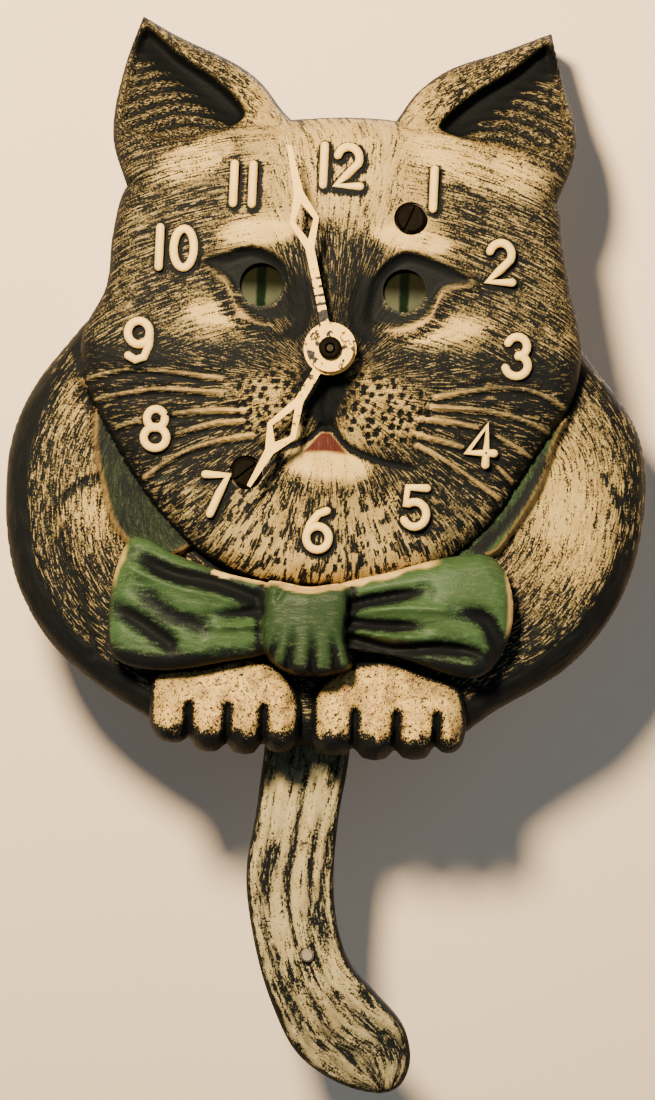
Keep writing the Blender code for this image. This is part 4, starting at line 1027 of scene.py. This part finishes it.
# Valleys and crests of the ribbon's folds: a line, how wide it is and how deep, positive for a crest.
BOW_FOLDS = (
    (((-32.5, -37.2), (-26.5, -40.3), (-17.8, -42.0), (-11.5, -44.2)), 1.5, -2.2),
    (((-34.6, -37.6), (-33, -39.8), (-24, -42.6), (-12, -44.9)), 0.9, 0.9),
    (((-19, -47.3), (-14, -46.9), (-10.5, -46.4)), 1.0, -1.3),
    (((-33.2, -41.8), (-26.8, -47.2), (-20.5, -49.4)), 1.8, -1.0),
    (((-20, -49.4), (-15, -49.3), (-11, -48.9)), 0.6, 0.9),
    (((-37.4, -46), (-31.3, -49.2), (-26, -52.6)), 1.6, -1.6),
    (((19, -41.6), (12, -42.9), (5.1, -44.8)), 1.1, -2.2),
    (((27, -45.2), (21, -44.6), (13, -44.7), (5.5, -45.6)), 0.8, 0.7),
    (((19.5, -47.6), (12.2, -47.9), (4.9, -47.7)), 1.0, -1.8),
    (((21, -49.8), (13, -49.8), (5, -48.8)), 0.8, 0.8),
    (((30.4, -53.6), (27.6, -52.0), (22, -51.4), (14, -51.9), (5.9, -50.6)), 1.1, -2.4),
    (((24, -45), (29.3, -46), (31.6, -49.6), (31.9, -53.4)), 1.5, -1.8),
)

KNOT_PLEATS = (-6.2, -3.8, -0.8, 2.2)


def bow_surface(x, z):
    """The two ribbon loops and the knot: depth and paint."""
    left = inside(x, z, LEFT_BOW)
    right = inside(x, z, RIGHT_BOW)
    knot = inside(x, z, BOW_KNOT)
    lobes = np.maximum(left, right)
    depth = BOW_DEPTH - 1.2 + 1.4 * mound(x, z, -25, -46, 9, 7) + 1.4 * mound(x, z, 23, -44, 8, 6)
    depth -= 1.6 * mound(x, z, -8, -48, 5, 8) + 1.6 * mound(x, z, 5, -48, 4, 8)
    ink = np.zeros(x.shape) + 0.13
    for line, width, height in BOW_FOLDS:
        fold = ridge(x, z, line, width) * step(np.hypot(x - line[0][0], z - line[0][1]), -2, 6)
        depth += 1.15 * height * fold
        # Fold valleys are inked darker as painted shade, and crests a little lighter as painted highlight.
        ink += 0.74 * np.clip(-height, 0, 2) * fold - 0.12 * unit(height) * fold
    depth -= rounded_edge(lobes, 3.2)
    in_knot = step(knot, 0, 0.9)
    knot_depth = BOW_DEPTH + 2.8 - rounded_edge(knot, 3.0) - 0.8 * np.abs(x + 2) / 8
    pleats = np.maximum.reduce([ridge(x, z, ((px, -46), (px * 1.5 + 0.6, -58)), 0.7) for px in KNOT_PLEATS])
    knot_depth -= 1.6 * pleats * step(-z, 48, 55) + 0.8 * ridge(x, z, ((-5.6, -41), (-7.2, -44)), 0.6)
    depth = depth * (1 - in_knot) + knot_depth * in_knot
    # Painted shade on the lower parts of the loops.
    under = step(-z, 50.4, 56.5) * step(-lobes, -4.5, -1.5)
    # The knot's pleats and its bottom are inked darker: painted shade.
    ink_knot = 0.14 + pleats * step(-z, 48, 55) + 0.85 * step(-z, 54, 57)
    ink = (ink + under) * (1 - in_knot) + ink_knot * in_knot
    # Painted shade along the lower edges of the loops and knot.
    ink += 0.9 * (1 - step(np.maximum(lobes, knot), 0.0, 0.8)) * step(-z, 46, 52)
    ink += 0.7 * bell(knot + 0.6, 0.8)

    paint = plain(x, GREEN)
    paint = tint(paint, tuple(1.3 * g for g in GREEN), mottle(x, z, 4, 31) * 0.6 * (1 - in_knot))
    paint = tint(paint, tuple(0.5 * g for g in GREEN), 0.80 * in_knot)
    upper = step(z + 46.5 - 0.17 * np.abs(x), 0, 1.2)
    ragged = 0.35 + 0.9 * mottle(x, z * 0.6, 1.9, 32)
    hem = 1 - step(np.maximum(lobes, knot) - ragged, -0.4, 0.3)
    sideways = 0.6 * step(-x - 33.8, 0, 1.2) * (1 - step(-z, 40, 44))
    sideways = sideways + step(x - 32.4, 0, 1) * (1 - step(-z, 46, 50))
    bare = hem * unit(upper * (x > -19) * (1 - step(x, 18, 22)) + sideways)
    paint = tint(paint, CREAM, bare)
    paint = tint(paint, TAN, bare * 0.5 * mottle(x, z, 1.6, 33))
    ink = ink * (1 - bare) + 0.2 * bare
    flow = course(x, x / 5.5, z / 1.6, 180)
    return {"depth": depth, "paint": paint, "stain": np.zeros(x.shape) + 0.12, "ink": np.clip(ink, 0, 1.25),
            "soft": 0.55 - 0.35 * bare, "sheen": (1 - bare) * (1 - unit(ink)), "strokes": flow}


# ---- the paws


def paw_surface(x, z):
    """Both front paws: depth and paint."""
    margin = np.maximum(*[within(x, z, paw, every=2) for paw in (LEFT_PAW, RIGHT_PAW)])
    gaps = np.zeros(x.shape)
    for gap in TOE_GAPS:
        gaps = np.maximum(gaps, bell(x - gap, 0.75) * step(-z, 62.2, 64.2))
    depth = PAW_DEPTH - 0.4 - rounded_edge(margin, 5.0)
    depth += 1.3 * step(-z, 62, 66) * (1 - step(-z, 69, 72))
    depth -= 2.6 * gaps
    for toe in TOES:
        depth += 1.2 * bell(x - toe, 2.2) * step(-z, 59, 65)
    depth += 0.55 * (mottle(x / 0.8, z, 1.3, 41) - 0.5)
    paint = plain(x, (0.79, 0.53, 0.16))
    chips = step(mottle(x, z * 1.6, 1.4, 42) * mottle(x, z, 0.6, 43), 0.42, 0.50) * (1 - step(-z, 66, 69))
    paint = tint(paint, TAN, chips)
    # Painted shade in the gaps between the toes.
    ink = 0.41 + gaps * (0.9 - 0.35 * step(-z, 66, 69))
    sole = step(-z + 1.6 * mottle(x, z, 1.3, 44), 67.6, 71.0) + (1 - step(margin, 0.2, 1.1))
    ink += 0.85 * unit(sole)
    # The paws' edges and the toe gaps are stained darker as painted shade; the blotches added next are
    # random stain.
    stain = 0.14 + 0.3 * (1 - step(margin, 0.5, 3.5)) + 0.5 * gaps
    stain = stain + 0.4 * step(mottle(x, z, 2.2, 45), 0.4, 0.8)
    flow = course(x, x / 0.7, z / 0.9, 260)
    return {"depth": depth, "paint": paint, "stain": unit(stain), "ink": np.clip(ink, 0, 1.3),
            "strokes": flow}


# ---- the whole case


# The screws that hold the movement, their holes and the seats of their heads.
SCREWS = ((13.2, 24), (-13.8, -22))
SCREW_HOLE = 1.5
SCREW_SEAT = 3.0
SCREW_SEAT_DEPTH = 31.0
HAND_HOLE = 3.4

# The case's faces that meet at more than this many degrees keep a sharp edge.
CASE_CREASE = 62

# Cutters start this far behind the back, and those through the face run from and to these depths.
BEHIND = -1
THROUGH = (5, 40)

BODY_WALL = 5.0
BODY_MIDDLE = -26
BODY_HALF = (57.5, 40)


def hollow_out(case):
    """Cuts the open back, the holes for the works and the hanger, and the slot that the tail swings in."""
    narrow, lower = (1 - BODY_WALL / half for half in BODY_HALF)
    inner = np.array([(px * narrow, BODY_MIDDLE + (pz - BODY_MIDDLE) * lower) for px, pz in BODY])
    cuts = [prism("body_hollow", inner, BEHIND, 17),
            box("head_hollow", -29, 29, -31.5, 34.5, BEHIND, 24.7),
            rod("face_hollow", 0, 0, 27, BEHIND, 29.5, 96),
            box("eye_channel", -5.5, 5.5, 20, 32.2, BEHIND, 28.4),
            box("tail_notch", -21.5, 19.5, -80, -60, BEHIND, 12),
            box("nail_pocket", -6, 6, 25, 40.4, BEHIND, 8),
            box("strap_pocket", -15.4, 15.4, 25, 41.2, BEHIND, 1.8)]
    for px, pz in EYES:
        cuts.append(rod("eye_hole", px, pz, EYE_HOLE, *THROUGH))
        cuts.append(box("eye_pocket", px - 8.8, px + 8.8, pz - 5, pz + 5, 5, 30.9))
    for px, pz in SCREWS:
        cuts.append(rod("screw_hole", px, pz, SCREW_HOLE, *THROUGH))
        cuts.append(rod("screw_seat", px, pz, SCREW_SEAT, SCREW_SEAT_DEPTH, 40))
    cuts.append(rod("hand_hole", 0, 0, HAND_HOLE, *THROUGH))
    for cutter in cuts:
        cutter.data.materials.append(RAW)
        combine(case, cutter, "DIFFERENCE")
    return case


def moulded_case():
    case = relief("moulded_case", (BODY,), BODY_CELL, body_surface, 0, *CASE_LOOKS)
    bow = (LEFT_BOW, RIGHT_BOW, BOW_KNOT)
    for part in (relief("head", (HEAD, LEFT_EAR, RIGHT_EAR), HEAD_CELL, head_surface, 0, *CASE_LOOKS),
                 relief("bow", bow, BOW_CELL, bow_surface, BOW_BACK, *CASE_LOOKS),
                 relief("paws", (LEFT_PAW, RIGHT_PAW), BOW_CELL, paw_surface, 0, *CASE_LOOKS)):
        combine(case, part, "UNION")
    hollow_out(case)
    mend_paint(case)
    smooth(case, CASE_CREASE)
    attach(case, "case")
    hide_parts("case_shell")


moulded_case()


# ---- numerals


# How far beyond a stroke's end, and how wide there, in radii: a round end.
ROUND_END = ((0.45, 0.89), (0.8, 0.6), (0.98, 0.2))
# A stroke whose ends are nearer than this is a loop.
CLOSED_GAP = 0.05


def stroke_mesh(name, lines, radius, depth, look):
    """Round raised strokes along lines at one depth, each a tube with round ends."""
    data = bpy.data.curves.new(name, "CURVE")
    data.dimensions = "3D"
    data.bevel_depth = radius * MM
    data.bevel_resolution = 3
    for line in lines:
        closed = bool(np.linalg.norm(line[0] - line[-1]) < CLOSED_GAP)
        points = line[:-1] if closed else line
        swell = np.ones(len(points))
        if not closed:
            first, last = points[0], points[-1]
            start = (first - points[1]) / np.linalg.norm(first - points[1])
            end = (last - points[-2]) / np.linalg.norm(last - points[-2])
            before = [first + start * radius * out for out, _ in reversed(ROUND_END)]
            after = [last + end * radius * out for out, _ in ROUND_END]
            points = np.vstack([before, points, after])
            taper = [size for _, size in ROUND_END]
            swell = np.concatenate([taper[::-1], swell, taper])
        spline = data.splines.new("POLY")
        spline.points.add(len(points) - 1)
        spline.use_cyclic_u = closed
        for point, (px, pz), size in zip(spline.points, points, swell):
            point.co = (*world(px, depth, pz), 1)
            point.radius = size
    data.use_fill_caps = True
    piece = add_object(name, data)
    graph = bpy.context.evaluated_depsgraph_get()
    mesh = bpy.data.meshes.new_from_object(piece.evaluated_get(graph))
    bpy.data.objects.remove(piece)
    made = add_object(name, mesh)
    mesh.materials.append(look)
    mesh.shade_smooth()
    return made


def numerals():
    look = enamel("numeral_cream", (0.95, 0.64, 0.175), (0.20, 0.13, 0.07), 0.72)
    grouped = {}
    for text, line in numeral_lines():
        grouped.setdefault(text, []).append(line)
    for text, lines in grouped.items():
        cx, cz = NUMERALS[text]
        seat = HEAD_EDGE_DEPTH + FACE_CROWN * (1 - (math.hypot(cx, cz) / FACE_REACH)**2)
        piece = stroke_mesh(f"numeral_{text}", lines, NUMERAL_STROKE, seat + NUMERAL_LIFT, look)
        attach(piece, "case")


numerals()


# ---- the tail

TAIL_BACK = 3.3
TAIL_FACE = 9.3
RIVET = (0.8, -109.2)
RIVET_HOLE = 0.8


def tail_surface(x, z):
    """The hanging tail: depth and paint, with furrows that follow its curve."""
    margin = within(x, z, TAIL, every=2)
    left_edge = curve_through(TAIL_POINTS[:10], 10)
    right_edge = curve_through(TAIL_POINTS[19:9:-1], 10)
    to_left, to_right = (coarse(lambda a, b, edge=edge: distance_to(a, b, edge), x, z, 2)
                         for edge in (left_edge, right_edge))
    across = to_left / np.maximum(to_left + to_right, 1e-6)
    along = -z + 0.35 * x
    furrow = mottle(across * 12 + 0.35 * np.sin(along / 7), along / 13, 1.0, 51)
    fine = mottle(across * 26, along / 6, 1.0, 52)
    depth = TAIL_FACE + 0.5 * np.sin(across * math.pi) + 0.65 * (furrow - 0.5) + 0.3 * (fine - 0.5)
    depth -= rounded_edge(margin, 2.2)
    paint = plain(x, (0.71, 0.57, 0.26))
    ink = 0.37 + 1.1 * unit(0.38 - furrow) + 0.5 * unit(0.4 - fine)
    ink += 0.5 * (1 - step(margin, 0.2, 1.1)) + 0.25 * mound(x, z, 0.5, -111, 3, 4)
    ink += 0.12 * step(-z, 110, 118) * mottle(x, z, 3, 53)
    stain = 0.42 + 1.2 * unit(0.5 - furrow) + 0.6 * unit(0.5 - fine)
    # The top of the tail, under the paws, is stained dark as a painted shadow of the case; the stain also
    # rises towards the tip.
    stain = stain + 0.75 * (1 - step(-z, 73, 79)) + 0.3 * step(-z, 112, 124)
    flow = course(x, across * 15, along / 5.5, 320)
    return {"depth": depth, "paint": paint, "stain": unit(stain), "ink": np.clip(ink, 0, 1.2),
            "strokes": flow}


def tail():
    look = brushed_paint("tail_painted", 0.45)
    piece = relief("painted_tail", (TAIL,), TAIL_CELL, tail_surface, TAIL_BACK, look, look)
    hole = rod("rivet_hole", *RIVET, RIVET_HOLE, -5, 20, 32)
    hole.data.materials.append(look)
    combine(piece, hole, "DIFFERENCE")
    mend_paint(piece)
    smooth(piece)
    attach(piece, "pendulum")
    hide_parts("tail")


tail()


# ---- the eyes


def eye_glaze():
    """Glossy yellow-green with a dark upright slit in the middle of each eye, its upper half darkened as a
    painted shadow of the eye hole's rim.
    """
    look = Look("eye_glaze")
    across = look.attribute("iris", "Vector")
    parts = look.node("SeparateXYZ")
    look.link(across, parts.inputs[0])
    x, z = parts.outputs["X"], parts.outputs["Z"]
    wobble = look.times(look.less(look.noise(across, 0.9), 0.5), 0.7)
    slit = look.between(look.math("ABSOLUTE", look.plus(x, wobble)), 0.55, 1.15)
    # The upper half of each eye, slit and all, is painted near black: a painted shadow of the eye hole's
    # rim.
    shade = look.between(z, -2.8, 0.9)
    cloudy = look.noise(across, 0.55, detail=2.0)
    iris = look.mix(cloudy, (0.050, 0.058, 0.034), (0.095, 0.100, 0.062))
    slit_colour = look.mix(shade, (0.006, 0.013, 0.006), (0.002, 0.003, 0.002))
    iris = look.mix(shade, iris, (0.008, 0.008, 0.004))
    look.shade(Base_Color=look.mix(slit, slit_colour, iris), Roughness=0.6, Specular_IOR_Level=0.0)
    look.bump(cloudy, 0.0001)
    return look.material


def eye(name, look):
    """A smooth shallow dome on the sliding carrier."""
    low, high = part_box(name)
    centre = middle(name)
    half_x, half_z = (high.x - low.x) / 2 / MM, (high.z - low.z) / 2 / MM
    back, front = -high.y / MM, -low.y / MM
    cx, cz = (centre.x - HUB.x) / MM, (centre.z - HUB.z) / MM
    rings, sides = 14, 48
    vertices, faces = [(cx, front, cz)], []
    for ring in range(1, rings + 1):
        tilt = math.pi / 2 * ring / rings
        for side in range(sides):
            turn = 2 * math.pi * side / sides
            vertices.append((cx + half_x * math.sin(tilt) * math.cos(turn),
                             back + (front - back) * math.cos(tilt),
                             cz + half_z * math.sin(tilt) * math.sin(turn)))
    for side in range(sides):
        nxt = (side + 1) % sides
        faces.append((0, 1 + side, 1 + nxt))
        for ring in range(rings - 1):
            a, b = 1 + ring * sides, 1 + (ring + 1) * sides
            faces.append((a + side, b + side, b + nxt, a + nxt))
    last = 1 + (rings - 1) * sides
    faces.append(tuple(last + side for side in reversed(range(sides))))
    mesh = mesh_from(f"{name}_dome", vertices, faces)
    values = np.array([(vx - cx, vd - back, vz - cz) for vx, vd, vz in vertices], np.float32)
    mesh.attributes.new("iris", "FLOAT_VECTOR", "POINT").data.foreach_set("vector", values.ravel())
    mesh.materials.append(look)
    piece = smooth(add_object(f"{name}_dome", mesh))
    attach(piece, "eye_slide")
    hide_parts(name)


GLAZE = eye_glaze()
eye("left_eye", GLAZE)
eye("right_eye", GLAZE)


# ---- metal parts and hands


HAND_CREAM = ((0.98, 0.62, 0.14), (0.015, 0.013, 0.01), 0.66)
LOOK_OF_SLOT = {
    "plate_brass": metal("rolled_brass", (0.60, 0.42, 0.17), (0.22, 0.14, 0.06), 0.26,
                         (300.0, 300.0, 3000.0)),
    "wheel_brass": metal("cut_brass", (0.70, 0.49, 0.20), (0.30, 0.19, 0.08), 0.22),
    "bright_steel": metal("turned_steel", (0.40, 0.39, 0.38), (0.12, 0.10, 0.08), 0.3),
    "spring_steel": metal("blued_steel", (0.16, 0.18, 0.24), (0.07, 0.06, 0.06), 0.3,
                          (400.0, 400.0, 2500.0)),
    "plated_steel": metal("plated_steel", (0.52, 0.51, 0.48), (0.18, 0.14, 0.10), 0.32,
                          (400.0, 400.0, 2600.0)),
    "dark_steel": metal("dark_screw_steel", (0.011, 0.009, 0.006), (0.007, 0.005, 0.004), 0.65),
    "hand_paint": enamel("hand_cream", *HAND_CREAM, knocked=HUB)}
LOOK_OF_NODE = {
    "minute_hand": enamel("minute_hand_cream", *HAND_CREAM, knocked=HUB, barred=True),
    # The centre arbor is near black, so that its end reads as the dark hole in the nut: painted shade.
    "centre_arbor": metal("arbor_steel_in_painted_shade", (0.035, 0.028, 0.02), (0.02, 0.014, 0.01), 0.55),
    "tail_rivet": metal("aged_nickel", (0.34, 0.29, 0.20), (0.08, 0.06, 0.04), 0.5)}

for subpart in frame["record"]["subparts"]:
    name = subpart["node"]
    chosen = LOOK_OF_NODE.get(name) or LOOK_OF_SLOT.get(subpart["material_slot"])
    if chosen:
        materials = frame["nodes"][name].data.materials
        materials.clear()
        materials.append(chosen)


# ---- stage, light and camera

WALL_DEPTH = -17.0
WALL_LEAN = 0.18
WALL_HALF = 900
CAMERA_DISTANCE = 620.0
CAMERA_ROLL = math.radians(2.6)
CAMERA_X = 1.156
CAMERA_Z = -35.0
FRAME_HEIGHT = 198.0
FOCUS_DISTANCE = 600.0
SENSOR = 36.0
LAMP_AIM = (0, 15, -30)


def camera():
    data = bpy.data.cameras.new("camera")
    data.sensor_width = SENSOR
    data.lens = SENSOR * FOCUS_DISTANCE / FRAME_HEIGHT
    data.clip_start = 0.01
    eye_point = add_object("camera", data)
    right = Vector((math.cos(CAMERA_ROLL), 0, math.sin(CAMERA_ROLL)))
    up = Vector((-math.sin(CAMERA_ROLL), 0, math.cos(CAMERA_ROLL)))
    back = right.cross(up)
    turn = Matrix((right, up, back)).transposed().to_4x4()
    eye_point.matrix_world = Matrix.Translation(world(CAMERA_X, CAMERA_DISTANCE, CAMERA_Z)) @ turn
    bpy.context.scene.camera = eye_point


def plain_wall():
    """A pale wall behind the clock.  Its rear side is clear, so that the clock's back can be seen."""
    look = Look("wall_paint")
    texture = look.noise(look.position(), 14.0, detail=2.0)
    look.shade(Base_Color=look.mix(texture, (0.97, 0.76, 0.54), (0.99, 0.80, 0.59)), Roughness=0.9)
    clear = look.node("BsdfTransparent")
    side = look.node("NewGeometry")
    either = look.node("MixShader")
    look.link(side.outputs["Backfacing"], either.inputs[0])
    look.link(look.shader.outputs[0], either.inputs[1])
    look.link(clear.outputs[0], either.inputs[2])
    look.link(either.outputs[0], look.tree.nodes["Material Output"].inputs["Surface"])
    low, high = (WALL_DEPTH + WALL_LEAN * z for z in (-WALL_HALF, WALL_HALF))
    corners = [(-WALL_HALF, low, -WALL_HALF), (WALL_HALF, low, -WALL_HALF),
               (WALL_HALF, high, WALL_HALF), (-WALL_HALF, high, WALL_HALF)]
    wall = add_object("wall", mesh_from("wall", corners, [(0, 1, 2, 3)]))
    wall.data.materials.append(look.material)
    wall.visible_shadow = False


def lamp(name, x, depth, z, size, power, colour):
    data = bpy.data.lights.new(name, "AREA")
    data.shape = "DISK"
    data.size = size * MM
    data.energy = power
    data.color = colour
    piece = add_object(name, data)
    place = world(x, depth, z)
    aim = world(*LAMP_AIM) - place
    piece.matrix_world = Matrix.Translation(place) @ aim.to_track_quat("-Z", "Y").to_matrix().to_4x4()


def studio():
    lamp("key", -88, 400, 115, 62, 6.3, (1.0, 0.81, 0.55))
    lamp("fill", 600, 700, 300, 700, 1.0, (0.85, 0.92, 1.0))
    lamp("rear", 300, -900, 500, 600, 10.0, (1.0, 1.0, 1.0))
    sky = bpy.data.worlds.new("studio")
    bpy.context.scene.world = sky
    sky.use_nodes = True
    glow = sky.node_tree.nodes["Background"]
    glow.inputs["Color"].default_value = (0.54, 0.74, 1.0, 1)
    glow.inputs["Strength"].default_value = 0.20


camera()
plain_wall()
studio()
